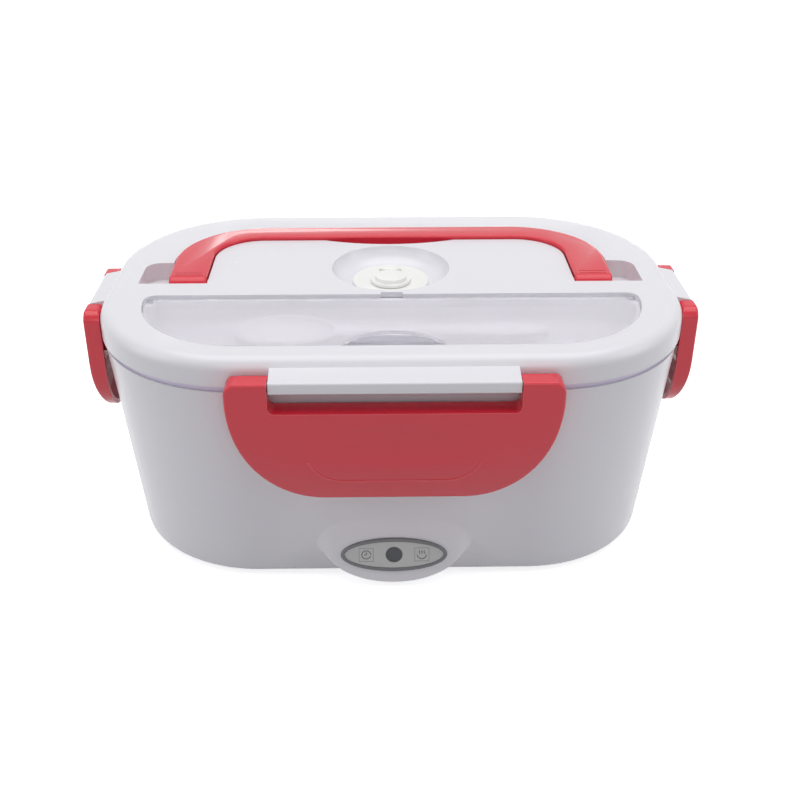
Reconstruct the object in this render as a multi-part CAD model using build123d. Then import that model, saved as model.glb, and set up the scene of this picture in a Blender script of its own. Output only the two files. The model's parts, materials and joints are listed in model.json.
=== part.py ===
from build123d import *
from math import cos, pi, radians, sin, tan
import os

# Electric lunch box, millimetres. X is its width, Y runs from front to rear and Z is up.
# The origin is under the middle of the box, at the level of its feet.

# ---------------------------------------------------------------- driving sizes
# Levels, bottom to top
foot_height = 2.0
case_top = 86.7
band_height = 2.2           # rim of the inner pot that shows between case and lid
lid_gap = 0.4
lid_top = 100.0

# Lid, whose outline stands out past the case's all round
lid_overhang = 0.9
lid_edge_round = 5.0
lid_wall = 2.0

# Case outline at its top, drafted inward towards its foot
case_top_half_x = 112.1
case_top_half_y = 73.5
case_top_corner = 56.1
case_draft = 7.5            # how far each side comes in between top and foot
case_corner_draft = 4.1
case_foot_round = 3.0
case_wall = 2.0
ledge_height = 2.0          # step inside the case that the bottom cover pushes against
ledge_depth = 2.5
rib_gap = 0.4               # from a catch rib to the back of its latch
rib_height = 2.0
rib_top = 77.2
rib_overlap = 3.0           # how much further than its hook a rib runs, each way

# Inner pot
pot_gap = 0.3
pot_wall = 1.6
pot_floor_top = 24.0
pot_floor_round = 6.0
band_inset = 0.8

# Bottom cover, its feet and screws
cover_plate = 2.0
cover_gap = 0.2
foot_radius = 7.0
foot_x = 74.0
foot_y = 40.0
post_x = 60.0
post_y = 28.0
post_radius = 4.0
bottom_screw_radius = 1.25
bottom_screw_length = 10.0
bottom_head_radius = 2.8
bottom_head_height = 1.5
hole_clearance = 0.15

# Heater under the pot's floor
plate_length = 100.0
plate_depth = 50.0
plate_corner = 8.0
plate_flange = 8.0
plate_flange_thick = 1.2
plate_drop = 4.0            # how far the plate's boss reaches below the pot's floor surface
plate_gap = 0.3
heater_margin = 22.0        # from the plate's end to the heater's end
heater_depth = 32.0
heater_thick = 5.0
clamp_overlap = 10.0        # how far the strap runs past the heater at each end
clamp_width = 12.0
clamp_thick = 1.5
clamp_screw_out = 6.0       # from the heater's end to the strap's screw
clamp_screw_radius = 1.5
clamp_screw_bite = 3.0
clamp_head_radius = 2.7
clamp_head_height = 1.8
thermostat_radius = 7.0
thermostat_height = 8.0
thermostat_out = 12.0       # from the heater's end to the switch's middle
thermostat_y = 16.0
fuse_radius = 1.8
fuse_length = 12.0
fuse_out = 10.0             # from the heater's end to the fuse's middle
fuse_y = 14.0
terminal_thick = 1.0
terminal_width = 4.0
terminal_length = 4.0

# Mains inlet, low at the rear
inlet_z = 13.5
inlet_pad_proud = 4.0       # how far the socket's pad stands out from the case's foot
inlet_pad_half_x = 20.0
inlet_pad_half_z = 10.5
inlet_pad_corner = 5.0
socket_width = 30.0
socket_height = 13.0
socket_corner = 4.0
socket_depth = 22.0
socket_flange = 2.5
socket_flange_thick = 1.5
socket_wall = 2.5
socket_hollow = 16.0
inlet_pin_radius = 1.2
inlet_pin_pitch = 10.0
inlet_pin_recess = 4.0
inlet_pin_tail = 2.0

# Indicator, low at the front
badge_z = 14.2
badge_tilt = 12.0           # degrees by which the badge looks upward
badge_half_x = 20.5
badge_half_z = 7.0
badge_rim = 1.5
badge_proud = 1.0
badge_plate_thick = 0.5
bulge_proud = 5.5           # how far the badge's middle stands out from the case's foot
bulge_half_x = 23.5
bulge_half_z = 11.8
bulge_spread = 8.0          # how much wider the bulge is where it runs out into the case
bulge_flare = 4.0
bulge_rise = 4.0            # how much further the bulge's top runs up the case
bulge_sink = 0.3            # depth of the bulge's run-out in the case's wall
bulge_bands = 6
bulge_wall = 2.0
bulge_side_wall = 2.6
lens_radius = 2.9
lens_proud = 0.3
lens_gap = 0.05
lamp_radius = 2.4
lamp_length = 8.0
lamp_sleeve_wall = 1.6
lamp_sleeve_length = 7.0

# Internal leads
lead_radius = 0.8
lead_sides = 8
lamp_lead_radius = 0.6
lamp_lead_half_pitch = 1.2

# Handle and its channel in the lid
handle_side_inset = 23.8    # from the lid's side to the handle's leg
handle_rear_inset = 21.6    # from the lid's rear to the handle's bar
handle_leg_width = 15.0
handle_bar_width = 11.8
handle_outer_corner = 36.0
handle_inner_corner = 20.0
handle_front = -6.3
handle_top = 101.6
handle_thick = 8.6
handle_edge_round = 0.9
handle_grooves = 2
handle_groove_start = 4.2
handle_groove_pitch = 2.0
handle_groove_width = 0.7
handle_groove_depth = 0.35
handle_groove_margin = 2.0  # plain strip at each end of a groove
handle_pin_radius = 2.2
handle_pin_length = 4.0
channel_gap = 0.9
plateau_gap = 0.6
channel_front = -6.7
channel_under = 0.5
pocket_inset = 12.0         # from the lid's side to the side pocket
pocket_rear = 15.2
pocket_corner = 6.0
scoop_half_x = 28.0
scoop_depth = 5.0
pan_wall = 1.6
lid_boss_half = 4.6
running_gap = 0.08

# Vent dish, its silicone seat and flap
dish_y = 9.3
dish_radius = 24.2
dish_floor = 93.3
dish_floor_radius = 17.0
seat_radius = 15.8
seat_thick = 1.5
vent_hole_radius = 1.8
flap_radius = 8.2
flap_y = 6.6
flap_thick = 1.4
flap_gap = 0.3
flap_knuckle_radius = 0.9
flap_knuckle_half = 3.0
flap_ear_width = 1.4
flap_neck_rise = 0.2
flap_neck_drop = 0.5
flap_tab_radius = 6.4
flap_tab_offset = 1.0
flap_tab_height = 1.6

# Spoon compartment, cover and spoon
spoon_bay_side_inset = 17.0
spoon_bay_front_inset = 10.9
spoon_bay_rear = -18.4
spoon_bay_corner = 40.0
spoon_bay_rear_corner = 4.5
spoon_bay_floor = 88.0
spoon_ledge = 2.0
spoon_ledge_top = 97.0
spoon_cover_gap = 0.4
spoon_cover_lift = 0.2
spoon_cover_thick = 1.6
spoon_cover_pin = 0.7
spoon_cover_pin_length = 5.0
cover_relief_depth = 3.4    # cut at the cover's hinge corners that lets it stand up in the bay
cover_relief_start = 0.6
notch_half_x = 19.0
notch_depth = 14.5
rear_notch_half_x = 4.3
rear_notch_depth = 1.8
spoon_x = -40.0
spoon_y = -42.0
spoon_bowl_half_x = 20.0
spoon_bowl_half_y = 13.0
spoon_bowl_depth = 7.0
spoon_skin = 1.6
spoon_length = 118.0
spoon_handle_width = 11.0
spoon_handle_thick = 2.4
spoon_handle_tip = 7.0

# Latches
front_latch_gap = 1.2       # from the lid to the back of the front and rear latches
front_latch_depth = 8.4
front_pivot_in = 4.0        # from a latch's back to its hinge line
side_latch_gap = 0.6
side_latch_depth = 6.4
side_pivot_in = 3.6
latch_top = 95.3
latch_wall = 2.0
latch_edge_round = 1.0
latch_heel_round = 2.0      # top rear edge, which swings past the lid
latch_pivot_z = 92.6
latch_pin_radius = 1.4
latch_pin_length = 3.6
cheek_wall = 2.6
boss_gap = 0.4
boss_bottom = 90.8
boss_top = 95.3
boss_root_top = 97.0
boss_front_inset = 0.7
boss_round = 0.8
slot_bottom = 83.6
slot_round = 2.2
ear_round = 4.7
front_latch_half = 59.0
front_boss_half = 43.5
front_latch_flat = 25.0
front_latch_shoulder = 88.0
front_latch_bottom = 46.6
side_latch_half = 25.0
side_boss_half = 15.3
side_latch_flat = 6.0
side_latch_shoulder = 70.0
side_latch_bottom = 47.5
curl_start = 75.0           # height below which the latch's face curls inward
front_curl = 3.6
side_curl = 4.4
hook_top = 74.6
hook_thick = 2.4
front_hook_half = 24.0
side_hook_half = 10.0
dent_half_x = 30.0
dent_half_z = 12.0
dent_depth = 0.9
dent_z = 67.0

# Lid seal
seal_inset = 3.8            # from the lid's outline to the seal's outer edge
seal_width = 3.0
seal_height = 4.2
seal_rib_wall = 1.2
seal_rib_drop = 2.0
seal_clear = 0.15

# Food tray and side dish
tray_gap = 0.5
tray_wall = 1.5
tray_floor_top = 39.2
tray_flange_thick = 1.5
tray_flange_inset = 2.4
tray_floor_round = 8.0
divider_x = 24.0
divider_wall = 1.6
divider_below_rim = 3.0
dish_wall_gap = 2.6
side_dish_wall = 1.4
side_dish_floor = 39.5
side_dish_rim = 78.0
side_dish_corner = 9.0
dish_lid_thick = 1.4
dish_lid_skirt = 5.0
dish_lid_gap = 0.2
dish_tab_length = 12.0
dish_tab_width = 3.0
dish_tab_height = 2.4

# ---------------------------------------------------------------- worked out from them
lid_half_x = case_top_half_x + lid_overhang
lid_half_y = case_top_half_y + lid_overhang
lid_corner = case_top_corner + lid_overhang
case_foot_half_x = case_top_half_x - case_draft
case_foot_half_y = case_top_half_y - case_draft
case_foot_corner = case_top_corner - case_corner_draft
latch_rear_y = lid_half_y + front_latch_gap
latch_rear_x = lid_half_x + side_latch_gap
latch_face_y = latch_rear_y + front_latch_depth
latch_face_x = latch_rear_x + side_latch_depth
latch_pivot_y = latch_rear_y + front_pivot_in
latch_pivot_x = latch_rear_x + side_pivot_in
handle_half_x = lid_half_x - handle_side_inset
handle_inner_half_x = handle_half_x - handle_leg_width
handle_rear = lid_half_y - handle_rear_inset
handle_inner_rear = handle_rear - handle_bar_width
pocket_half_x = lid_half_x - pocket_inset
spoon_bay_half_x = lid_half_x - spoon_bay_side_inset
spoon_bay_front = spoon_bay_front_inset - lid_half_y
inlet_pad_reach = case_foot_half_y + inlet_pad_proud
bulge_face = case_foot_half_y + bulge_proud
heater_length = plate_length - 2 * heater_margin
clamp_length = heater_length + 2 * clamp_overlap
clamp_screw_x = heater_length / 2 + clamp_screw_out
thermostat_x = -heater_length / 2 - thermostat_out
fuse_x = heater_length / 2 + fuse_out
base = foot_height
case_slope = case_draft / (case_top - base)
band_top = case_top + band_height
lid_bottom = band_top + lid_gap
lid_under = lid_top - lid_wall
handle_bottom = handle_top - handle_thick
handle_pivot_y = handle_front + handle_thick / 2
handle_pivot_z = handle_bottom + handle_thick / 2
channel_floor = handle_bottom - channel_under
seat_top = dish_floor + seat_thick
cover_bottom = spoon_ledge_top + spoon_cover_lift
cover_top = cover_bottom + spoon_cover_thick
cover_pivot_y = spoon_bay_rear - spoon_cover_gap - spoon_cover_thick / 2
cover_pivot_z = cover_bottom + spoon_cover_thick / 2
plate_bottom = pot_floor_top - plate_drop
lens_front = bulge_face + badge_plate_thick + lens_proud
lens_back = bulge_face - bulge_wall
heater_bottom = plate_bottom - heater_thick
clamp_bottom = heater_bottom - clamp_thick
pot_floor_bottom = pot_floor_top - pot_wall
cover_plate_top = base + cover_plate
tray_rim = band_top + tray_flange_thick
inlet_face = inlet_pad_reach + socket_flange_thick
pin_tail_y = inlet_pad_reach - socket_depth - inlet_pin_tail
OVERSHOOT = 1.0             # how far a cutter runs past the face it opens


# ---------------------------------------------------------------- shapes used more than once
def slab(half_x, half_y, corner, low, high):
    """An upright block with a rounded-rectangle plan."""
    return Pos(0, 0, low) * extrude(RectangleRounded(2 * half_x, 2 * half_y, corner), high - low)


def case_plan(inset, z):
    """The case's outline at height z, moved inward by inset."""
    share = (z - base) / (case_top - base)
    half_x = case_foot_half_x + (case_top_half_x - case_foot_half_x) * share - inset
    half_y = case_foot_half_y + (case_top_half_y - case_foot_half_y) * share - inset
    corner = case_foot_corner + (case_top_corner - case_foot_corner) * share - inset
    return Pos(0, 0, z) * RectangleRounded(2 * half_x, 2 * half_y, corner)


def drafted(inset, low, high, foot_round=0.0):
    """A block with the case's draft, with its foot edge rounded where foot_round is given."""
    body = loft([case_plan(inset, low), case_plan(inset, high)], ruled=True)
    if foot_round:
        body = fillet(body.faces().sort_by(Axis.Z)[0].edges(), foot_round)
    return body


def pin_along(axis, radius, start, length):
    """A round pin from its start point along a named axis; a negative length runs backward."""
    turns = {"X": (0, 90, 0), "Y": (-90, 0, 0), "Z": (0, 0, 0)}
    shift = min(length, 0)
    offset = {"X": (shift, 0, 0), "Y": (0, shift, 0), "Z": (0, 0, shift)}[axis]
    place = Location(start) * Pos(*offset) * Rot(*turns[axis])
    return place * Cylinder(radius, abs(length), align=(Align.CENTER, Align.CENTER, Align.MIN))


def block(low, high):
    """A box from its lowest to its highest corner."""
    size = [high[i] - low[i] for i in range(3)]
    return Pos(*low) * Box(*size, align=(Align.MIN, Align.MIN, Align.MIN))


def front_plane(y):
    """A sketch plane that faces forward, with X to the right and Z up."""
    return Plane(origin=(0, y, 0), x_dir=(1, 0, 0), z_dir=(0, -1, 0))


def save(name, shape):
    """Writes one node's solids."""
    shape.label = name
    export_step(shape, f"parts/{name}.step")


# ---------------------------------------------------------------- case
def tipped(piece):
    """Leans an indicator piece back about the badge's middle, so that it looks a little upward."""
    return Pos(0, -bulge_face, badge_z) * Rot(-badge_tilt, 0, 0) * Pos(0, bulge_face, -badge_z) * piece


def behind_badge(x, depth):
    """A point at a depth behind the badge's middle, square to its face."""
    lean = radians(badge_tilt)
    return (x, depth * cos(lean) - bulge_face, badge_z - depth * sin(lean))


def oval_block(inset, depth):
    """The indicator's bulge: a leaning oval face that runs out in a bell curve on the case."""
    sink = depth / cos(radians(badge_tilt))
    lean = tan(radians(badge_tilt))
    ovals = []
    for band in range(bulge_bands + 1):
        share = band / bulge_bands
        proud = (1 + cos(pi * share)) / 2
        z = badge_z + bulge_rise * share
        wall_y = case_foot_half_y + case_slope * (z - base) - bulge_sink
        y = wall_y + (bulge_face - wall_y) * proud - sink
        tip = lean * proud - case_slope * (1 - proud)
        plane = Plane(origin=(0, -y, z), x_dir=(1, 0, 0), z_dir=(0, -1, tip))
        ovals.append(plane * Ellipse(bulge_half_x - inset + bulge_spread * share,
                                     bulge_half_z - inset + bulge_flare * share))
    return loft(ovals, ruled=True)


def inlet_pad(half_x, half_z, corner, near_y, far_y):
    """The raised pad behind the case that carries the mains socket."""
    plan = front_plane(near_y) * Pos(0, inlet_z) * RectangleRounded(2 * half_x, 2 * half_z, corner)
    return extrude(plan, near_y - far_y)


def catch_ribs():
    """Four straight ribs on the case, one under each latch, which its hook lies outside of."""
    reach_y = latch_rear_y - rib_gap
    reach_x = latch_rear_x - rib_gap
    low = rib_top - rib_height
    half_front = front_hook_half + rib_overlap
    half_side = side_hook_half + rib_overlap
    root = case_draft - case_slope * (low - base) + case_wall / 2
    ribs = []
    for sign in (-1, 1):
        ys = sorted((sign * reach_y, sign * (case_top_half_y - root)))
        xs = sorted((sign * reach_x, sign * (case_top_half_x - root)))
        ribs.append(block((-half_front, ys[0], low), (half_front, ys[1], rib_top)))
        ribs.append(block((xs[0], -half_side, low), (xs[1], half_side, rib_top)))
    return ribs


def make_case_shell():
    """The outer shell: drafted walls, indicator bulge, inlet pad, catch ribs and a foot ledge."""
    body = drafted(0, base, case_top, case_foot_round)
    body += oval_block(0, 0)
    body += inlet_pad(inlet_pad_half_x, inlet_pad_half_z, inlet_pad_corner,
                      case_foot_half_y - case_wall, inlet_pad_reach)
    for rib in catch_ribs():
        body += rib
    body -= drafted(case_wall, base - OVERSHOOT, case_top + OVERSHOOT)
    ledge = drafted(case_wall - 0.5, cover_plate_top, cover_plate_top + ledge_height)
    ledge -= drafted(case_wall + ledge_depth, cover_plate_top - OVERSHOOT,
                     cover_plate_top + ledge_height + OVERSHOOT)
    body += ledge
    body -= oval_block(bulge_side_wall, bulge_wall)
    body -= tipped(pin_along("Y", lens_radius + lens_gap, (0, -bulge_face - OVERSHOOT, badge_z),
                             bulge_wall + 2 * OVERSHOOT))
    socket = inlet_pad(socket_width / 2 + pot_gap, socket_height / 2 + pot_gap, socket_corner,
                       case_foot_half_y - 2 * case_wall - 4, inlet_pad_reach + OVERSHOOT)
    return body - socket


def make_inner_liner():
    """The fixed inner pot, with its rim on the case and four screw posts under its floor."""
    pot = drafted(case_wall + pot_gap, pot_floor_bottom, case_top, pot_floor_round)
    pot += slab(case_top_half_x - band_inset, case_top_half_y - band_inset,
                case_top_corner - band_inset, case_top, band_top)
    inner = case_wall + pot_gap + pot_wall
    pot -= drafted(inner, pot_floor_top, band_top + OVERSHOOT, pot_floor_round - pot_wall)
    for x in (-post_x, post_x):
        for y in (-post_y, post_y):
            post_low = cover_plate_top
            pot += pin_along("Z", post_radius, (x, y, post_low), pot_floor_top - pot_wall / 2 - post_low)
            pot -= pin_along("Z", bottom_screw_radius, (x, y, post_low - OVERSHOOT),
                             bottom_screw_length + OVERSHOOT)
    opening = slab(plate_length / 2, plate_depth / 2, plate_corner,
                   pot_floor_bottom - OVERSHOOT, pot_floor_top + OVERSHOOT)
    return pot - opening


def make_bottom_cover():
    """The flat cover that closes the case from below, with its screw holes."""
    cover = drafted(case_wall + cover_gap, base, cover_plate_top)
    for x in (-post_x, post_x):
        for y in (-post_y, post_y):
            cover -= pin_along("Z", bottom_screw_radius + hole_clearance,
                               (x, y, base - OVERSHOOT), cover_plate + 2 * OVERSHOOT)
    return cover


def make_feet():
    """Four round pads under the bottom cover."""
    pads = []
    for x in (-foot_x, foot_x):
        for y in (-foot_y, foot_y):
            pad = Pos(x, y, 0) * Cylinder(foot_radius, foot_height,
                                          align=(Align.CENTER, Align.CENTER, Align.MIN))
            pads.append(chamfer(pad.edges().group_by(Axis.Z)[0], 0.5))
    return Compound(children=pads)


def make_bottom_screws():
    """Four pan-head screws that draw the bottom cover up to the pot's posts."""
    screws = []
    for x in (-post_x, post_x):
        for y in (-post_y, post_y):
            head = pin_along("Z", bottom_head_radius, (x, y, base - bottom_head_height),
                             bottom_head_height)
            shank = pin_along("Z", bottom_screw_radius, (x, y, base), bottom_screw_length)
            screws.append(head + shank)
    return Compound(children=screws)


# ---------------------------------------------------------------- heater
def make_heating_plate():
    """The aluminium plate let into the pot's floor, with a flange above it and a boss below."""
    flange = slab(plate_length / 2 + plate_flange, plate_depth / 2 + plate_flange,
                  plate_corner + plate_flange, pot_floor_top, pot_floor_top + plate_flange_thick)
    flange = fillet(flange.faces().sort_by(Axis.Z)[-1].edges(), 0.5)
    boss = slab(plate_length / 2 - plate_gap, plate_depth / 2 - plate_gap,
                plate_corner - plate_gap, plate_bottom, pot_floor_top)
    plate = flange + boss
    for x in (-clamp_screw_x, clamp_screw_x):
        plate -= pin_along("Z", clamp_screw_radius, (x, 0, plate_bottom - OVERSHOOT),
                           clamp_screw_bite + OVERSHOOT)
    return plate


def make_heater_element():
    """The flat heater held against the plate's boss."""
    return block((-heater_length / 2, -heater_depth / 2, heater_bottom),
                 (heater_length / 2, heater_depth / 2, plate_bottom))


def make_heater_clamp():
    """The strap that presses the heater to the plate."""
    strap = Pos(0, 0, clamp_bottom) * extrude(SlotOverall(clamp_length, clamp_width), clamp_thick)
    for x in (-clamp_screw_x, clamp_screw_x):
        strap -= pin_along("Z", clamp_screw_radius + hole_clearance,
                           (x, 0, clamp_bottom - OVERSHOOT), clamp_thick + 2 * OVERSHOOT)
    return strap


def make_clamp_screws():
    """Two screws through the strap into the plate's boss."""
    screws = []
    for x in (-clamp_screw_x, clamp_screw_x):
        head = pin_along("Z", clamp_head_radius, (x, 0, clamp_bottom - clamp_head_height),
                         clamp_head_height)
        reach = plate_bottom + clamp_screw_bite - clamp_bottom
        screws.append(head + pin_along("Z", clamp_screw_radius, (x, 0, clamp_bottom), reach))
    return Compound(children=screws)


def make_thermostat():
    """The round thermal switch under the plate's boss, with two terminals."""
    low = plate_bottom - thermostat_height
    body = pin_along("Z", thermostat_radius, (thermostat_x, thermostat_y, low), thermostat_height)
    body = chamfer(body.edges().group_by(Axis.Z)[0], 0.8)
    rear = thermostat_y + thermostat_radius - 1
    middle = low + thermostat_height / 2
    half = terminal_width / 2
    rear_tab = block((thermostat_x - half, rear, middle),
                     (thermostat_x + half, rear + terminal_length, middle + terminal_thick))
    side = thermostat_x + thermostat_radius - 1
    side_tab = block((side, heater_depth / 4 - 1, middle + 2),
                     (side + 2, thermostat_y, middle + 2 + terminal_thick))
    return body + rear_tab + side_tab


def make_thermal_fuse():
    """The round cut-out fuse that lies under the plate's boss."""
    z = plate_bottom - fuse_radius
    body = pin_along("X", fuse_radius, (fuse_x - fuse_length / 2, fuse_y, z), fuse_length)
    return chamfer(body.edges(), 0.3)


# ---------------------------------------------------------------- inlet and leads
def make_inlet_housing():
    """The recessed socket for the mains lead: flange, hollow and a back wall with two pin holes."""
    near = inlet_pad_reach - socket_depth
    body = inlet_pad(socket_width / 2, socket_height / 2, socket_corner, near, inlet_pad_reach)
    flange = inlet_pad(socket_width / 2 + socket_flange, socket_height / 2 + socket_flange,
                       socket_corner + socket_flange, inlet_pad_reach, inlet_face)
    flange = chamfer(flange.faces().sort_by(Axis.Y)[-1].edges(), 0.6)
    body += flange
    body -= inlet_pad(socket_width / 2 - socket_wall, socket_height / 2 - socket_wall,
                      socket_corner - socket_wall / 2, inlet_face - socket_hollow,
                      inlet_face + OVERSHOOT)
    for sign in (-1, 1):
        body -= pin_along("Y", inlet_pin_radius,
                          (sign * inlet_pin_pitch / 2, near - OVERSHOOT, inlet_z), socket_depth)
    return body


def make_inlet_pins():
    """Two round contact pins through the socket's back wall."""
    pins = []
    length = inlet_face - inlet_pin_recess - pin_tail_y
    for sign in (-1, 1):
        pin = pin_along("Y", inlet_pin_radius,
                        (sign * inlet_pin_pitch / 2, pin_tail_y, inlet_z), length)
        pins.append(fillet(pin.edges().group_by(Axis.Y)[-1], inlet_pin_radius * 0.7))
    return Compound(children=pins)


def bend_radii(points):
    """A bend radius for each corner: 0.45 of its shorter run over the tangent of half the turn."""
    radii = []
    for before, here, after in zip(points, points[1:], points[2:]):
        first = Vector(*here) - Vector(*before)
        second = Vector(*after) - Vector(*here)
        half_turn = first.get_angle(second) / 2
        run = min(first.length, second.length)
        radii.append(0.45 * run / tan(radians(half_turn)))
    return radii


def lead(points, radius):
    """An insulated wire of straight runs joined by arcs, through the given points."""
    section = RegularPolygon(radius, lead_sides)
    if len(points) == 2:
        path = Edge.make_line(points[0], points[1])
    else:
        radii = bend_radii(points)
        path = FilletPolyline(*points, radius=radii)
        print("lead bend radii:", [round(r, 1) for r in radii])
    start = Plane(origin=path @ 0, z_dir=path % 0)
    wire = sweep(start * section, path=path)
    print("lead volume share:", round(wire.volume / (path.length * section.area), 4))
    return wire


def make_leads():
    """The wires between inlet, thermal switch, fuse and heater."""
    pin_x = inlet_pin_pitch / 2
    switch_z = plate_bottom - thermostat_height / 2 + terminal_thick / 2
    switch_end = thermostat_y + thermostat_radius - 1 + terminal_length
    fuse_z = plate_bottom - fuse_radius
    fuse_end = fuse_x + fuse_length / 2
    live = [(-pin_x, pin_tail_y, inlet_z), (-pin_x, pin_tail_y - 6, inlet_z),
            (-pin_x - 3, pin_tail_y - 11, inlet_z), (-pin_x - 10, pin_tail_y - 13.5, inlet_z + 0.5),
            (thermostat_x + 10, switch_end + 12.5, switch_z),
            (thermostat_x + 3, switch_end + 11, switch_z),
            (thermostat_x, switch_end + 6, switch_z), (thermostat_x, switch_end, switch_z)]
    neutral = [(pin_x, pin_tail_y, inlet_z), (pin_x, pin_tail_y - 6, inlet_z),
               (pin_x + 3.5, pin_tail_y - 11.5, inlet_z), (pin_x + 11, pin_tail_y - 15, inlet_z + 0.5),
               (fuse_end - 13, fuse_y + 17.5, fuse_z - 2), (fuse_end - 1, fuse_y + 20, fuse_z - 1),
               (fuse_end + 7.7, fuse_y + 14.1, fuse_z), (fuse_end + 10.7, fuse_y + 8.9, fuse_z - 0.2),
               (fuse_end + 9.7, fuse_y + 3.5, fuse_z), (fuse_end + 5.5, fuse_y, fuse_z),
               (fuse_end, fuse_y, fuse_z)]
    bridge = [(fuse_x - fuse_length / 2, fuse_y, fuse_z), (heater_length / 2, fuse_y, fuse_z)]
    return Compound(children=[lead(live, lead_radius), lead(neutral, lead_radius),
                              lead(bridge, lead_radius * 0.6)])


def make_lamp_leads():
    """Two thin wires from the lamp back to the heater's front edge."""
    wires = []
    lamp_end = bulge_wall + lamp_length
    end_z = heater_bottom + heater_thick / 2
    for sign in (-1, 1):
        x = sign * lamp_lead_half_pitch
        points = [behind_badge(x, lamp_end), behind_badge(x, lamp_end + 8),
                  (sign * 6, -43, badge_z), (sign * 8, -heater_depth / 2 - 8, end_z),
                  (sign * 8, -heater_depth / 2, end_z)]
        wires.append(lead(points, lamp_lead_radius))
    return Compound(children=wires)


# ---------------------------------------------------------------- indicator
def make_indicator_bezel():
    """The oval frame round the indicator's plate."""
    outer = front_plane(-bulge_face) * Pos(0, badge_z) * Ellipse(badge_half_x, badge_half_z)
    ring = chamfer(extrude(outer, badge_proud).faces().sort_by(Axis.Y)[0].edges(), 0.4)
    inner = front_plane(-bulge_face + OVERSHOOT) * Pos(0, badge_z) * Ellipse(
        badge_half_x - badge_rim, badge_half_z - badge_rim)
    return tipped(ring - extrude(inner, badge_proud + 2 * OVERSHOOT))


def make_indicator_plate():
    """The thin oval plate inside the frame, with a hole for the lens."""
    inner = front_plane(-bulge_face) * Pos(0, badge_z) * Ellipse(
        badge_half_x - badge_rim - lens_gap, badge_half_z - badge_rim - lens_gap)
    plate = extrude(inner, badge_plate_thick)
    plate -= pin_along("Y", lens_radius + lens_gap,
                       (0, -bulge_face - badge_plate_thick - OVERSHOOT, badge_z),
                       badge_plate_thick + 2 * OVERSHOOT)
    return tipped(plate)


def make_indicator_lens():
    """The round dark window in front of the lamp."""
    body = pin_along("Y", lens_radius, (0, -lens_front, badge_z), lens_front - lens_back)
    return tipped(fillet(body.edges().sort_by(Axis.Y)[0], 0.5))


def make_neon_lamp():
    """The glass lamp behind the window."""
    body = pin_along("Y", lamp_radius, (0, -lens_back, badge_z), lamp_length)
    return tipped(fillet(body.edges().sort_by(Axis.Y)[0], 1.0))


def make_lamp_sleeve():
    """The soft sleeve that holds the lamp against the bulge's inner face."""
    outer = pin_along("Y", lamp_radius + lamp_sleeve_wall, (0, -lens_back, badge_z),
                      lamp_sleeve_length)
    outer -= pin_along("Y", lamp_radius + lens_gap, (0, -lens_back - OVERSHOOT, badge_z),
                       lamp_sleeve_length + 2 * OVERSHOOT)
    return tipped(outer)


# ---------------------------------------------------------------- lid
def channel_plan(margin):
    """The handle's channel and its two side pockets, seen from above, grown by margin."""
    half = handle_half_x + channel_gap + margin
    rear = handle_rear + channel_gap + margin
    front = channel_front - margin
    corner = handle_outer_corner + channel_gap + margin
    outer = Pos(0, (front + rear) / 2) * Rectangle(2 * half, rear - front)
    outer = fillet(outer.vertices().group_by(Axis.Y)[-1], corner)
    pocket_x = pocket_half_x + margin
    pocket_y = pocket_rear + margin
    pocket = Pos(0, (front + pocket_y) / 2) * Rectangle(2 * pocket_x, pocket_y - front)
    pocket = fillet(pocket.vertices().group_by(Axis.Y)[-1], pocket_corner + margin)
    return outer + pocket - plateau_plan(margin)


def plateau_plan(margin):
    """The raised middle of the lid that the handle lies round, shrunk by margin."""
    half = handle_inner_half_x - plateau_gap - margin
    rear = handle_inner_rear - plateau_gap - margin
    front = channel_front - OVERSHOOT - margin
    corner = handle_inner_corner - plateau_gap - margin
    plan = Pos(0, (front + rear) / 2) * Rectangle(2 * half, rear - front)
    plan = fillet(plan.vertices().group_by(Axis.Y)[-1], corner)
    scoop_radius = (scoop_half_x ** 2 + scoop_depth ** 2) / (2 * scoop_depth)
    scoop_y = handle_inner_rear - plateau_gap - scoop_depth + scoop_radius
    return plan - Pos(0, scoop_y) * Circle(scoop_radius + margin)


def spoon_bay_plan(margin):
    """The D-shaped spoon compartment seen from above, grown by margin."""
    half = spoon_bay_half_x + margin
    rear = spoon_bay_rear + margin
    front = spoon_bay_front - margin
    plan = Pos(0, (front + rear) / 2) * Rectangle(2 * half, rear - front)
    plan = fillet(plan.vertices().group_by(Axis.Y)[0], spoon_bay_corner + margin)
    return fillet(plan.vertices().group_by(Axis.Y)[-1], spoon_bay_rear_corner + margin)


def raised(plan, low, high):
    """A plan pulled up from one height to another."""
    return Pos(0, 0, low) * extrude(plan, high - low)


def dish_bowl(wall):
    """The vent dish as a turned solid: a flat floor and a curved side up to the rim."""
    floor_z = dish_floor - wall
    floor_edge = dish_floor_radius + wall * 0.4
    rim = dish_radius + wall
    above = lid_top + OVERSHOOT
    top_corners = [(0, lid_top)] if wall else [(rim, above), (0, above)]
    middle = (floor_edge + (rim - floor_edge) * 0.72, floor_z + (lid_top - floor_z) * 0.36)
    with BuildSketch(Plane.XZ) as half:
        with BuildLine():
            Line((0, floor_z), (floor_edge, floor_z))
            ThreePointArc((floor_edge, floor_z), middle, (rim, lid_top))
            Polyline((rim, lid_top), *top_corners, (0, floor_z))
        make_face()
    return Pos(0, dish_y, 0) * revolve(half.sketch, Axis.Z)


def boss_profile(face, root):
    """Side view of a latch boss: flat front and bottom, with a top that slopes to the front."""
    front = face - boss_front_inset
    points = [(root, boss_bottom), (front, boss_bottom), (front, boss_top), (root, boss_root_top)]
    return points


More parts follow.
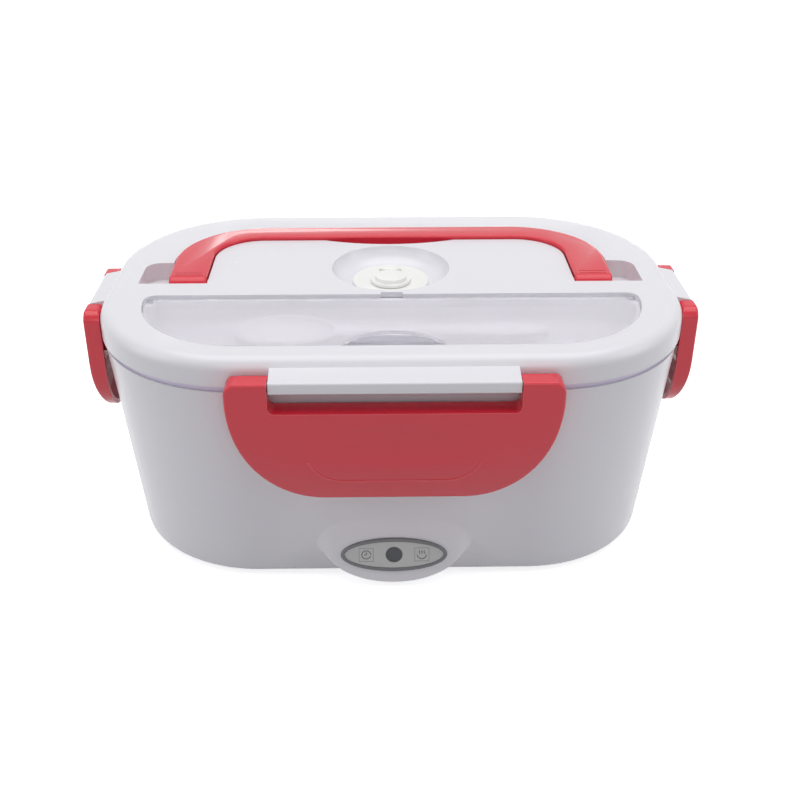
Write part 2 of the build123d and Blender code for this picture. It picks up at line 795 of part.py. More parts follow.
def latch_boss(side):
    """A boss on the lid's side with a stub pin at each end, which a latch turns on."""
    front_like = side in ("front", "rear")
    face = latch_face_y if front_like else latch_face_x
    root = (lid_half_y if front_like else lid_half_x) - lid_wall
    pivot = latch_pivot_y if front_like else latch_pivot_x
    half = front_boss_half if front_like else side_boss_half
    profile = Plane.YZ * Polygon(*boss_profile(face, root), align=None)
    body = Pos(-half, 0, 0) * extrude(profile, 2 * half)
    outer_edges = body.edges().filter_by(Axis.X).group_by(Axis.Y)[-1]
    body = fillet(outer_edges, boss_round)
    for sign in (-1, 1):
        body += pin_along("X", latch_pin_radius, (sign * half, pivot, latch_pivot_z),
                          sign * latch_pin_length)
    return turn_to(side) * body


def turn_to(side):
    """Turns a piece that is made for the rear to the side it belongs on."""
    return Rot(0, 0, {"rear": 0, "left": 90, "front": 180, "right": -90}[side])


def make_lid_shell():
    """The lid: skirt, rim, plateau, handle channel, spoon compartment, vent dish and bosses."""
    body = slab(lid_half_x, lid_half_y, lid_corner, lid_bottom, lid_top)
    body = fillet(body.faces().sort_by(Axis.Z)[-1].edges(), lid_edge_round)
    hollow = slab(lid_half_x - lid_wall, lid_half_y - lid_wall, lid_corner - lid_wall,
                  lid_bottom - OVERSHOOT, lid_under)
    hollow = fillet(hollow.faces().sort_by(Axis.Z)[-1].edges(), lid_edge_round - lid_wall)
    body -= hollow
    body += raised(channel_plan(pan_wall), channel_floor - pan_wall, lid_under)
    body += raised(spoon_bay_plan(pan_wall), spoon_bay_floor - pan_wall, lid_under)
    body += dish_bowl(pan_wall)
    body += seal_groove()
    for sign in (-1, 1):
        near = sign * (handle_inner_half_x - plateau_gap - pan_wall / 2)
        xs = sorted((near, near - sign * (handle_pin_length + pan_wall)))
        body += block((xs[0], handle_pivot_y - lid_boss_half, channel_floor),
                      (xs[1], handle_pivot_y + lid_boss_half, lid_under + pan_wall / 2))
    for side in ("front", "rear", "left", "right"):
        body += latch_boss(side)
    body -= raised(channel_plan(0), channel_floor, lid_top + OVERSHOOT)
    body -= raised(spoon_bay_plan(0), spoon_ledge_top, lid_top + OVERSHOOT)
    body -= raised(spoon_bay_plan(-spoon_ledge), spoon_bay_floor, lid_top)
    body -= dish_bowl(0)
    body -= pin_along("Z", vent_hole_radius, (0, flap_y, dish_floor - pan_wall - OVERSHOOT),
                      pan_wall + 2 * OVERSHOOT)
    body -= block((-rear_notch_half_x, spoon_bay_rear - OVERSHOOT, spoon_ledge_top),
                  (rear_notch_half_x, spoon_bay_rear + rear_notch_depth, lid_top + OVERSHOOT))
    for sign in (-1, 1):
        near = sign * (handle_inner_half_x - plateau_gap)
        body -= pin_along("X", handle_pin_radius + running_gap,
                          (near + sign * OVERSHOOT, handle_pivot_y, handle_pivot_z),
                          -sign * (handle_pin_length + OVERSHOOT))
        body -= pin_along("X", spoon_cover_pin + running_gap,
                          (sign * cover_end_x(), cover_pivot_y, cover_pivot_z),
                          sign * (spoon_cover_pin_length + running_gap))
    return body


def cover_end_x():
    """Where the spoon cover's rounded rear edge ends and its pins begin."""
    return spoon_bay_half_x - spoon_bay_rear_corner


def seal_groove():
    """The double rib under the lid that the seal is pressed into."""
    outer = seal_inset - seal_rib_wall
    inner = seal_inset + seal_width + seal_rib_wall
    low = tray_rim + seal_clear + seal_height - seal_rib_drop
    ring = lid_ring(outer, inner, low, lid_under)
    return ring - lid_ring(seal_inset, seal_inset + seal_width, low - OVERSHOOT, low + seal_rib_drop)


def lid_ring(outer, inner, low, high):
    """A ring that follows the lid's outline, between two insets."""
    big = slab(lid_half_x - outer, lid_half_y - outer, lid_corner - outer, low, high)
    return big - slab(lid_half_x - inner, lid_half_y - inner, lid_corner - inner,
                      low - OVERSHOOT, high + OVERSHOOT)


def make_lid_seal():
    """The silicone ring between the lid and the tray's rim."""
    low = tray_rim + seal_clear
    return lid_ring(seal_inset, seal_inset + seal_width, low, low + seal_height)


def make_carry_handle():
    """The U-shaped handle, round at its pivot ends, with a stub pin on each leg."""
    front = handle_pivot_y
    outer = Pos(0, (front + handle_rear) / 2) * Rectangle(2 * handle_half_x, handle_rear - front)
    outer = fillet(outer.vertices().group_by(Axis.Y)[-1], handle_outer_corner)
    inner = Pos(0, (front + handle_inner_rear) / 2 - OVERSHOOT) * Rectangle(
        2 * handle_inner_half_x, handle_inner_rear - front + 2 * OVERSHOOT)
    inner = fillet(inner.vertices().group_by(Axis.Y)[-1], handle_inner_corner)
    body = raised(outer - inner, handle_bottom, handle_top)
    for sign in (-1, 1):
        start = sign * handle_inner_half_x
        body += pin_along("X", handle_thick / 2, (start, handle_pivot_y, handle_pivot_z),
                          sign * handle_leg_width)
    top_edges = body.faces().sort_by(Axis.Z)[-1].edges()
    body = fillet(top_edges.filter_by(lambda edge: edge.center().Y > handle_pivot_y + 0.1),
                  handle_edge_round)
    for sign in (-1, 1):
        body += pin_along("X", handle_pin_radius,
                          (sign * handle_inner_half_x, handle_pivot_y, handle_pivot_z),
                          -sign * handle_pin_length)
        middle = sign * (handle_inner_half_x + handle_leg_width / 2)
        for step in range(handle_grooves):
            y = handle_front + handle_groove_start + step * handle_groove_pitch
            half = handle_leg_width / 2 - handle_groove_margin
            body -= block((middle - half, y, handle_top - handle_groove_depth),
                          (middle + half, y + handle_groove_width, handle_top + OVERSHOOT))
    return body


def make_spoon_cover():
    """The clear cover of the spoon compartment, rounded along its hinge, with a finger notch."""
    plan = spoon_bay_plan(-spoon_cover_gap)
    plan -= Pos(0, spoon_bay_front) * Ellipse(notch_half_x, notch_depth)
    body = raised(plan, cover_bottom, cover_top)
    trim_y = cover_pivot_y
    reach = spoon_bay_half_x
    body -= block((-reach, trim_y, cover_bottom - OVERSHOOT),
                  (reach, spoon_bay_rear, cover_top + OVERSHOOT))
    end = cover_end_x()
    for sign in (-1, 1):
        xs = sorted((sign * (end + cover_relief_start), sign * reach))
        body -= block((xs[0], trim_y - cover_relief_depth, cover_bottom - OVERSHOOT),
                      (xs[1], spoon_bay_rear, cover_top + OVERSHOOT))
    body += pin_along("X", spoon_cover_thick / 2, (-end, cover_pivot_y, cover_pivot_z), 2 * end)
    for sign in (-1, 1):
        body += pin_along("X", spoon_cover_pin, (sign * end, cover_pivot_y, cover_pivot_z),
                          sign * spoon_cover_pin_length)
    return body


def make_spoon():
    """The spoon: an oval hollow bowl that runs into a flat tapered handle."""
    floor = spoon_bay_floor
    bowl = spoon_oval(spoon_bowl_half_x, spoon_bowl_half_y, spoon_bowl_depth)
    hollow = spoon_oval(spoon_bowl_half_x - spoon_skin, spoon_bowl_half_y - spoon_skin,
                        spoon_bowl_depth - spoon_skin)
    start = spoon_bowl_half_x - 3
    end = spoon_length - spoon_bowl_half_x
    with BuildSketch() as plan:
        with BuildLine():
            Polyline((start, spoon_handle_width / 2), (start + 20, spoon_handle_tip / 2),
                     (end - 12, spoon_handle_width / 2), (end, spoon_handle_width / 2 - 2),
                     (end, -spoon_handle_width / 2 + 2), (end - 12, -spoon_handle_width / 2),
                     (start + 20, -spoon_handle_tip / 2), (start, -spoon_handle_width / 2),
                     close=True)
        make_face()
    handle = raised(plan.sketch, spoon_bowl_depth - spoon_handle_thick, spoon_bowl_depth)
    body = bowl + handle - hollow
    return Pos(spoon_x, spoon_y, floor + 0.2) * body


def spoon_oval(half_x, half_y, depth):
    """A bowl that is round below: stacked ovals, flat on top."""
    top = spoon_bowl_depth
    rings = []
    for share, rise in ((0.45, 0.0), (0.78, 0.25), (0.94, 0.6), (1.0, 1.0)):
        height = top - depth + depth * rise
        rings.append(Pos(0, 0, height) * Ellipse(half_x * share, half_y * share))
    return loft(rings, ruled=True)


def make_vent_seat():
    """The silicone disc on the dish's floor, with a steam hole and two hinge ears."""
    disc = Pos(0, dish_y, dish_floor) * Cylinder(
        seat_radius, seat_thick, align=(Align.CENTER, Align.CENTER, Align.MIN))
    disc = fillet(disc.edges().group_by(Axis.Z)[-1], 0.5)
    disc -= Pos(0, flap_y, dish_floor - OVERSHOOT) * Cylinder(
        vent_hole_radius, seat_thick + 2 * OVERSHOOT, align=(Align.CENTER, Align.CENTER, Align.MIN))
    pivot_y, pivot_z = flap_pivot()
    for sign in (-1, 1):
        near = sign * (flap_knuckle_half + flap_gap)
        far = near + sign * flap_ear_width
        xs = sorted((near, far))
        ear = block((xs[0], pivot_y - 1.3, seat_top - 0.2), (xs[1], pivot_y + 1.3, pivot_z + 1.1))
        ear -= pin_along("X", flap_pin_radius() + running_gap,
                         (near - sign * OVERSHOOT, pivot_y, pivot_z),
                         sign * (flap_ear_width + 2 * OVERSHOOT))
        disc += ear
    return disc


def flap_pin_radius():
    """Radius of the flap's hinge pins."""
    return flap_knuckle_radius * 0.6


def flap_pivot():
    """Place of the flap's hinge line, as (y, z)."""
    return flap_y + flap_radius + flap_knuckle_radius, seat_top + flap_gap + flap_knuckle_radius


def make_vent_flap():
    """The silicone flap over the steam hole, with a half-moon finger tab and a hinge knuckle."""
    pivot_y, pivot_z = flap_pivot()
    low = seat_top + flap_gap
    disc = Pos(0, flap_y, low) * Cylinder(flap_radius, flap_thick,
                                          align=(Align.CENTER, Align.CENTER, Align.MIN))
    disc = fillet(disc.edges().group_by(Axis.Z)[-1], 0.4)
    tab_y = flap_y - flap_tab_offset
    tab = Pos(0, tab_y, low + flap_thick / 2) * Cylinder(
        flap_tab_radius, flap_thick / 2 + flap_tab_height,
        align=(Align.CENTER, Align.CENTER, Align.MIN))
    tab -= block((-flap_radius, tab_y, low), (flap_radius, tab_y + flap_radius, lid_top))
    knuckle = pin_along("X", flap_knuckle_radius, (-flap_knuckle_half, pivot_y, pivot_z),
                        2 * flap_knuckle_half)
    neck = block((-flap_knuckle_half, flap_y, low + flap_neck_rise),
                 (flap_knuckle_half, pivot_y, low + flap_thick - flap_neck_drop))
    body = disc + tab + neck + knuckle
    pin_length = flap_gap + flap_ear_width
    for sign in (-1, 1):
        body += pin_along("X", flap_pin_radius(), (sign * flap_knuckle_half, pivot_y, pivot_z),
                          sign * pin_length)
    return body


# ---------------------------------------------------------------- latches
def latch_plan(half, boss_half, flat, shoulder, bottom, inset):
    """A latch seen face on: a round-bottomed plate with two ears and a slot for the boss."""
    width = half - inset
    low = bottom + inset
    sketch = Pos(0, (shoulder + latch_top - inset) / 2) * Rectangle(
        2 * width, latch_top - inset - shoulder)
    round_top = max(ear_round - inset, 0.5)
    sketch = fillet(sketch.vertices().group_by(Axis.Y)[-1], round_top)
    foot = Pos(0, (low + shoulder) / 2) * Rectangle(2 * flat, shoulder - low)
    for sign in (-1, 1):
        foot += Pos(sign * flat, shoulder) * Ellipse(width - flat, shoulder - low)
    sketch += foot & Pos(0, (low + shoulder) / 2) * Rectangle(2 * width, shoulder - low)
    slot_low = slot_bottom - inset
    slot_half = boss_half + boss_gap + inset
    slot = Pos(0, (slot_low + lid_top) / 2) * Rectangle(2 * slot_half, lid_top - slot_low)
    slot = fillet(slot.vertices().group_by(Axis.Y)[0], slot_round)
    return sketch - slot


def latch_profile(face, rear, bottom, curl, inset):
    """A latch seen from its end: a flat face that curls inward towards its foot."""
    out = face - inset
    low = bottom - OVERSHOOT
    end = face - curl - inset
    back = rear if inset == 0 else rear - 2 * OVERSHOOT
    curl_middle = (face - curl * 0.22 - inset, (curl_start + bottom) / 2)
    with BuildSketch(Plane.YZ) as side:
        with BuildLine():
            Polyline((end, low), (back, low), (back, latch_top - inset), (out, latch_top - inset),
                     (out, curl_start))
            ThreePointArc((out, curl_start), curl_middle, (end, low))
        make_face()
    if inset:
        return side.sketch
    heel = side.sketch.vertices().group_by(Axis.Z)[-1].sort_by(Axis.Y)[0]
    return fillet(heel, latch_heel_round)


def make_latch(side):
    """A snap latch: a shell open at its back, hung on the boss's pins, with an inner hook."""
    front_like = side in ("front", "rear")
    if front_like:
        half, boss_half, flat = front_latch_half, front_boss_half, front_latch_flat
        shoulder, bottom, curl = front_latch_shoulder, front_latch_bottom, front_curl
        face, rear, pivot = latch_face_y, latch_rear_y, latch_pivot_y
        hook_half = front_hook_half
    else:
        half, boss_half, flat = side_latch_half, side_boss_half, side_latch_flat
        shoulder, bottom, curl = side_latch_shoulder, side_latch_bottom, side_curl
        face, rear, pivot = latch_face_x, latch_rear_x, latch_pivot_x
        hook_half = side_hook_half
    full = latch_prism(half, boss_half, flat, shoulder, bottom, curl, face, rear, 0)
    hollow = latch_prism(half, boss_half, flat, shoulder, bottom, curl, face, rear, latch_wall)
    body = full - hollow
    for sign in (-1, 1):
        near = boss_half + boss_gap
        body += pin_along("X", latch_pin_radius + 1.3, (sign * near, pivot, latch_pivot_z),
                          sign * cheek_wall)
        body -= pin_along("X", latch_pin_radius + running_gap,
                          (sign * (near - OVERSHOOT), pivot, latch_pivot_z),
                          sign * (cheek_wall + 2 * OVERSHOOT + 1.5))
    hook = block((-hook_half, rear, hook_top - hook_thick),
                 (hook_half, face - latch_wall + 0.5, hook_top))
    body += hook
    if front_like:
        body -= thumb_dent(face)
    top_edges = body.edges().filter_by(Axis.X).filter_by(
        lambda edge: edge.center().Z > latch_top - 0.1 and edge.center().Y > face - 0.1)
    return turn_to(side) * fillet(top_edges, latch_edge_round)


def latch_prism(half, boss_half, flat, shoulder, bottom, curl, face, rear, inset):
    """The block common to a latch's face view and its end view."""
    plan = latch_plan(half, boss_half, flat, shoulder, bottom, inset)
    depth = Plane(origin=(0, face + OVERSHOOT, 0), x_dir=(-1, 0, 0), z_dir=(0, 1, 0)) * plan
    block_y = extrude(depth, -(face - rear + 4 * OVERSHOOT))
    side = Pos(-half, 0, 0) * extrude(latch_profile(face, rear, bottom, curl, inset), 2 * half)
    return block_y & side


def thumb_dent(face):
    """The shallow oval dent that a thumb presses, as a turned lens."""
    ring = (dent_half_z ** 2 + dent_depth ** 2) / (2 * dent_depth)
    with BuildSketch(Plane.XY) as lens:
        with BuildLine():
            ThreePointArc((-dent_half_x, ring - dent_depth), (0, ring), (dent_half_x, ring - dent_depth))
            Line((dent_half_x, ring - dent_depth), (-dent_half_x, ring - dent_depth))
        make_face()
    swept = revolve(lens.sketch, Axis.X)
    return Pos(0, face + ring - dent_depth, dent_z) * swept


# ---------------------------------------------------------------- tray and side dish
def make_food_tray():
    """The lift-out tray: drafted walls, a rim that rests on the pot and one divider."""
    outer = case_wall + pot_gap + pot_wall + tray_gap
    inner = outer + tray_wall
    body = drafted(outer, tray_floor_top - tray_wall, band_top, tray_floor_round)
    body += slab(case_top_half_x - tray_flange_inset, case_top_half_y - tray_flange_inset,
                 case_top_corner - tray_flange_inset, band_top, tray_rim)
    body -= drafted(inner, tray_floor_top, tray_rim + OVERSHOOT, tray_floor_round - tray_wall)
    wall = drafted(inner - 0.3, tray_floor_top - tray_wall / 2, band_top - divider_below_rim)
    strip = block((divider_x - divider_wall / 2, -case_top_half_y, base),
                  (divider_x + divider_wall / 2, case_top_half_y, lid_top))
    return body + (wall & strip)


def side_plan(inset, z):
    """The side dish's outline at height z, moved inward by inset."""
    tray_inner = case_wall + pot_gap + pot_wall + tray_gap + tray_wall
    plan = case_plan(tray_inner + dish_wall_gap + inset, z)
    left = divider_x + divider_wall / 2 + dish_wall_gap + inset
    keep = Pos(left + case_top_half_x, 0, z) * Rectangle(2 * case_top_half_x, 4 * case_top_half_y)
    plan = plan & keep
    return fillet(plan.vertices().group_by(Axis.X)[0], side_dish_corner - inset)


def side_block(inset, low, high):
    """A block with the side dish's plan and draft."""
    return loft([side_plan(inset, low), side_plan(inset, high)], ruled=True)


def make_side_dish():
    """The small lift-out box that stands in the tray's right-hand part."""
    body = side_block(0, side_dish_floor, side_dish_rim)
    body = fillet(body.faces().sort_by(Axis.Z)[0].edges(), 3.0)
    return body - side_block(side_dish_wall, side_dish_floor + side_dish_wall,
                             side_dish_rim + OVERSHOOT)


def make_side_dish_lid():
    """The cap of the side dish: a plate, a skirt outside the rim and a pull tab."""
    low = side_dish_rim + dish_lid_gap
    top = low + dish_lid_thick
    skirt_low = side_dish_rim - dish_lid_skirt
    skirt_drop = dish_lid_skirt + OVERSHOOT
    body = Pos(0, 0, -dish_lid_skirt) * extrude(
        side_plan(-dish_lid_gap - dish_lid_thick, side_dish_rim), top - skirt_low)
    body -= Pos(0, 0, -skirt_drop) * extrude(
        side_plan(-dish_lid_gap, side_dish_rim), skirt_drop + dish_lid_gap)
    middle = (divider_x + case_top_half_x) / 2 - 4
    tab = block((middle - dish_tab_length / 2, -dish_tab_width / 2, top - 0.2),
                (middle + dish_tab_length / 2, dish_tab_width / 2, top + dish_tab_height))
    tab = fillet(tab.edges().filter_by(Axis.Y).group_by(Axis.Z)[-1], dish_tab_height / 2)
    return body + tab


# ---------------------------------------------------------------- write every piece
def main():
    """Builds and writes every node."""
    os.makedirs("parts", exist_ok=True)
    save("case_shell", make_case_shell())
    save("inner_liner", make_inner_liner())
    save("bottom_cover", make_bottom_cover())
    save("feet", make_feet())
    save("bottom_screws", make_bottom_screws())
    save("heating_plate", make_heating_plate())
    save("heater_element", make_heater_element())
    save("heater_clamp", make_heater_clamp())
    save("clamp_screws", make_clamp_screws())
    save("thermostat", make_thermostat())
    save("thermal_fuse", make_thermal_fuse())
    save("inlet_housing", make_inlet_housing())
    save("inlet_pins", make_inlet_pins())
    save("power_leads", make_leads())
    save("lamp_leads", make_lamp_leads())
    save("indicator_bezel", make_indicator_bezel())
    save("indicator_plate", make_indicator_plate())
    save("indicator_lens", make_indicator_lens())
    save("neon_lamp", make_neon_lamp())
    save("lamp_sleeve", make_lamp_sleeve())
    save("lid_shell", make_lid_shell())
    save("lid_seal", make_lid_seal())
    save("carry_handle", make_carry_handle())
    save("spoon_cover", make_spoon_cover())
    save("spoon", make_spoon())
    save("vent_seat", make_vent_seat())
    save("vent_flap", make_vent_flap())
    for side in ("front", "rear", "left", "right"):
        save(f"{side}_latch", make_latch(side))
    save("food_tray", make_food_tray())
    save("side_dish", make_side_dish())
    save("side_dish_lid", make_side_dish_lid())


main()
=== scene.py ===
"""Dresses the electric lunch box: plastics, metals and silicone, modelled details, studio and camera."""

import json
import logging
import math
from dataclasses import dataclass
from enum import Enum
from typing import Any, Protocol

import bmesh
import bpy
from mathutils import Matrix, Vector
from mathutils.bvhtree import BVHTree


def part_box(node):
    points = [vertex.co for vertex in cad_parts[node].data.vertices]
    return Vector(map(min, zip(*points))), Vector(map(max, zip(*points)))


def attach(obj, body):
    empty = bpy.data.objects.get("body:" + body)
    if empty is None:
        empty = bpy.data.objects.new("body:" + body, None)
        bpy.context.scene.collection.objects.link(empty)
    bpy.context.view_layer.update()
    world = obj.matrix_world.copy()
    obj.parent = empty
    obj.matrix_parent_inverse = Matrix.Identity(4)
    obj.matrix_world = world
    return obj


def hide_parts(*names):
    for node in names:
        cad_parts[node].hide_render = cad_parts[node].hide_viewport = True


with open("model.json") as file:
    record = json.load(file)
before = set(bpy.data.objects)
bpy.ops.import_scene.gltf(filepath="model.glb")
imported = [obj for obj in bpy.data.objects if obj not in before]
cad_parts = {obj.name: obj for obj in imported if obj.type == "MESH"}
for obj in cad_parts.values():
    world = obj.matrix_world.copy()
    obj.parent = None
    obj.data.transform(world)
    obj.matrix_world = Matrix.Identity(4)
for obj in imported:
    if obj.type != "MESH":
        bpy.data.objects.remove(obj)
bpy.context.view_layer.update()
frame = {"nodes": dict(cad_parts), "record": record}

logging.basicConfig(level=logging.INFO, format="%(message)s")
log = logging.getLogger("lunch_box")

Triple = tuple[float, float, float]
Colour = Triple
Point = tuple[float, float]
Band = tuple[float, float]

MM = 0.001
WHOLE_TURN = 2 * math.pi
FRONT_FACING = Matrix.Rotation(math.radians(90), 4, "X")  # lays a piece made in XY against the front
SHARP_ANGLE = math.radians(32.0)  # edges that turn more stay sharp, or are softened
FLAT_ANGLE = math.radians(0.4)  # faces that turn less are one face
WELD = 0.002 * MM  # points nearer than this are one point
EVEN: Triple = (1.0, 1.0, 1.0)
NOISE_MIDDLE = 0.5
SEEN_WHITE = (1.0, 1.0, 1.0, 1.0)
MIX_MASK, MIX_FIRST, MIX_SECOND, MIX_RESULT = 0, 6, 7, 2  # the Mix node's sockets for colours


# ---------------------------------------------------------------- shader maths
class Signal:
    """A shader socket that takes part in Python arithmetic."""

    def __init__(self, graph: "Graph", socket: bpy.types.NodeSocket) -> None:
        """Wraps one output socket.

        Args:
            graph: The material graph that the socket belongs to.
            socket: The output socket.
        """
        self.graph = graph
        self.socket = socket

    def __add__(self, other: "Signal | float") -> "Signal":
        """The sum of two signals."""
        return self.graph.math("ADD", self, other)

    def __sub__(self, other: "Signal | float") -> "Signal":
        """This signal less another."""
        return self.graph.math("SUBTRACT", self, other)

    def __mul__(self, other: "Signal | float") -> "Signal":
        """The product of two signals."""
        return self.graph.math("MULTIPLY", self, other)

    def __radd__(self, other: float) -> "Signal":
        """A number plus this signal."""
        return self.graph.math("ADD", other, self)

    def __rsub__(self, other: float) -> "Signal":
        """A number less this signal."""
        return self.graph.math("SUBTRACT", other, self)

    def __rmul__(self, other: float) -> "Signal":
        """A number times this signal."""
        return self.graph.math("MULTIPLY", other, self)


class Graph:
    """The node tree of a material or of the surround, built through a single node method."""

    noise_roughness: float = 0.55
    edge_samples: int = 6
    edge_band: Band = (0.03, 0.30)

    def __init__(self, owner: bpy.types.Material | bpy.types.World) -> None:
        """Empties the owner's node tree.

        Args:
            owner: The material or world that the nodes are for.
        """
        owner.use_nodes = True
        self.owner = owner
        self.tree = owner.node_tree
        self.tree.nodes.clear()

    @classmethod
    def of_material(cls, name: str) -> "Graph":
        """Starts an empty material.

        Args:
            name: The material's name.

        Returns:
            Its graph.
        """
        return cls(bpy.data.materials.new(name))

    def node(self, kind: str, settings: dict[str, Any] | None = None,
             inputs: dict[str | int, Any] | None = None, output: str | int = 0) -> Signal:
        """Adds any node.

        Args:
            kind: The node's type.
            settings: Properties, which are set before the sockets.
            inputs: Values or signals for the node's input sockets.
            output: The output socket that is returned.

        Returns:
            The chosen output as a signal.
        """
        made = self.tree.nodes.new(kind)
        for name, value in (settings or {}).items():
            setattr(made, name, value)
        for key, value in (inputs or {}).items():
            if isinstance(value, Signal):
                self.tree.links.new(value.socket, made.inputs[key])
            else:
                made.inputs[key].default_value = value
        return Signal(self, made.outputs[output] if made.outputs else made.inputs[0])

    def math(self, operation: str, first: Signal | float, second: Signal | float) -> Signal:
        """One Math node on two values.

        Args:
            operation: The node's operation.
            first: The first value or signal.
            second: The second value or signal.

        Returns:
            The result.
        """
        return self.node("ShaderNodeMath", {"operation": operation}, {0: first, 1: second})

    def places(self, stretch: Triple = EVEN) -> Signal:
        """Object coordinates, scaled along each axis.

        Args:
            stretch: How often a pattern repeats along each axis, as a share of its scale.

        Returns:
            The coordinates.
        """
        here = self.node("ShaderNodeTexCoord", output="Object")
        return self.node("ShaderNodeMapping", None, {"Vector": here, "Scale": stretch})

    def noise(self, places: Signal, scale: float, detail: float = 1.0) -> Signal:
        """A smooth random pattern from 0 to 1.

        Args:
            places: Coordinates to read it at.
            scale: Features for each metre.
            detail: Number of finer layers.

        Returns:
            The pattern.
        """
        inputs = {"Vector": places, "Scale": scale, "Detail": detail, "Roughness": self.noise_roughness}
        return self.node("ShaderNodeTexNoise", None, inputs, "Fac")

    def step(self, value: Signal, band: Band) -> Signal:
        """A smooth step from 0 to 1 across a band.

        Args:
            value: The signal that is read.
            band: Where the step starts and where it ends.

        Returns:
            The step.
        """
        return self.node("ShaderNodeMapRange", {"interpolation_type": "SMOOTHSTEP"},
                         {"Value": value, "From Min": band[0], "From Max": band[1]})

    def blend(self, mask: Signal, first: Colour | Signal, second: Colour) -> Signal:
        """A colour that goes from first to second as the mask goes from 0 to 1.

        Args:
            mask: The mask.
            first: Colour where the mask is 0.
            second: Colour where the mask is 1.

        Returns:
            The colour.
        """
        start = first if isinstance(first, Signal) else (*first, 1.0)
        return self.node("ShaderNodeMix", {"data_type": "RGBA"},
                         {MIX_MASK: mask, MIX_FIRST: start, MIX_SECOND: (*second, 1.0)}, MIX_RESULT)

    def edges(self, reach: float) -> Signal:
        """A mask of the edges, where a rounded normal parts from the surface's own; it places the painted
        edge highlights.

        Args:
            reach: How far from an edge it shows, in metres.

        Returns:
            The mask, 1 on the edges and 0 on open faces.
        """
        rounded = self.node("ShaderNodeBevel", {"samples": self.edge_samples}, {"Radius": reach})
        plain = self.node("ShaderNodeNewGeometry", output="Normal")
        match = self.node("ShaderNodeVectorMath", {"operation": "DOT_PRODUCT"},
                          {0: rounded, 1: plain}, "Value")
        return self.step(1.0 - match, self.edge_band)

    def bump(self, height: Signal, depth: float) -> Signal:
        """A normal that follows a height.

        Args:
            height: The pattern, from 0 to 1.
            depth: How far 1 stands above 0, in metres.

        Returns:
            The normal.
        """
        return self.node("ShaderNodeBump", None, {"Height": height, "Distance": depth})

    def finish(self, **inputs: Any) -> bpy.types.Material:
        """Closes the graph with a Principled shader.

        Args:
            **inputs: Socket values, with underscores for the spaces in their names.

        Returns:
            The material.
        """
        named = {key.replace("_", " "): value for key, value in inputs.items()}
        shader = self.node("ShaderNodeBsdfPrincipled", None, named)
        self.node("ShaderNodeOutputMaterial", None, {"Surface": shader})
        return self.owner


class Recipe(Protocol):
    """Anything that can make a material."""

    def material(self, name: str) -> bpy.types.Material:
        """Makes the material under a name."""


@dataclass(frozen=True)
class MouldedPlastic:
    """Injection-moulded plastic: soft orange peel, faint flow clouds and fine handling scratches, and,
    where an edge colour is given, a painted highlight along its edges.
    """

    colour: Colour
    shade: Colour
    roughness: float
    scratch: float = 0.03
    peel_scale: float = 260.0
    peel_depth: float = 0.02 * MM
    grain_scale: float = 2600.0
    grain_depth: float = 0.004 * MM
    glow: float = 0.0
    glow_reach: Triple = (4.0 * MM, 3.0 * MM, 3.0 * MM)
    # painted highlight: a paler colour laid along every edge, standing in for light caught by rounded
    # edges
    painted_edge_highlight: Colour | None = None
    edge_highlight_reach: float = 0.6 * MM
    cloud_scale: float = 22.0
    handled_scale: float = 48.0
    handled_band: Band = (0.52, 0.68)
    handled_spread: float = 0.06
    stroke_scale: float = 2400.0
    stroke_stretch: Triple = (0.12, 1.0, 1.0)
    stroke_band: Band = (0.66, 0.74)

    def material(self, name: str) -> bpy.types.Material:
        """Makes the material.

        Args:
            name: The material's name.

        Returns:
            The material.
        """
        graph = Graph.of_material(name)
        here = graph.places()
        clouds = graph.noise(here, self.cloud_scale, detail=3.0)
        handled = graph.noise(here, self.handled_scale, detail=4.0)
        strokes = graph.noise(graph.places(self.stroke_stretch), self.stroke_scale)
        scratches = graph.step(strokes, self.stroke_band) * graph.step(handled, self.handled_band)
        peel = graph.noise(here, self.peel_scale)
        grain = graph.noise(here, self.grain_scale) * (self.grain_depth / self.peel_depth)
        worn = (handled - NOISE_MIDDLE) * self.handled_spread + scratches * self.scratch
        colour = graph.blend(clouds, self.colour, self.shade)
        # paints a highlight along the edges in a paler colour
        if self.painted_edge_highlight:
            colour = graph.blend(graph.edges(self.edge_highlight_reach), colour, self.painted_edge_highlight)
        return graph.finish(Base_Color=colour, Roughness=self.roughness + worn, IOR=1.47,
                            Subsurface_Weight=self.glow, Subsurface_Radius=self.glow_reach,
                            Subsurface_Scale=1.0, Normal=graph.bump(peel + grain, self.peel_depth))


@dataclass(frozen=True)
class ClearPlastic:
    """Clear or frosted moulded plastic with a light haze, cloudier where it has been handled."""

    colour: Colour
    opacity: float
    roughness: float
    clarity: float = 0.0
    paler: float = 1.06
    haze_scale: float = 30.0
    haze_spread: float = 0.10
    peel_scale: float = 180.0
    peel_depth: float = 0.02 * MM

    def material(self, name: str) -> bpy.types.Material:
        """Makes the material.

        Args:
            name: The material's name.

        Returns:
            The material.
        """
        graph = Graph.of_material(name)
        here = graph.places()
        haze = graph.noise(here, self.haze_scale, detail=3.0)
        peel = graph.noise(here, self.peel_scale)
        pale = tuple(min(1.0, part * self.paler) for part in self.colour)
        return graph.finish(Base_Color=graph.blend(haze, self.colour, pale),
                            Roughness=self.roughness + haze * self.haze_spread,
                            Alpha=self.opacity + (haze - NOISE_MIDDLE) * self.haze_spread, IOR=1.49,
                            Transmission_Weight=self.clarity, Normal=graph.bump(peel, self.peel_depth))


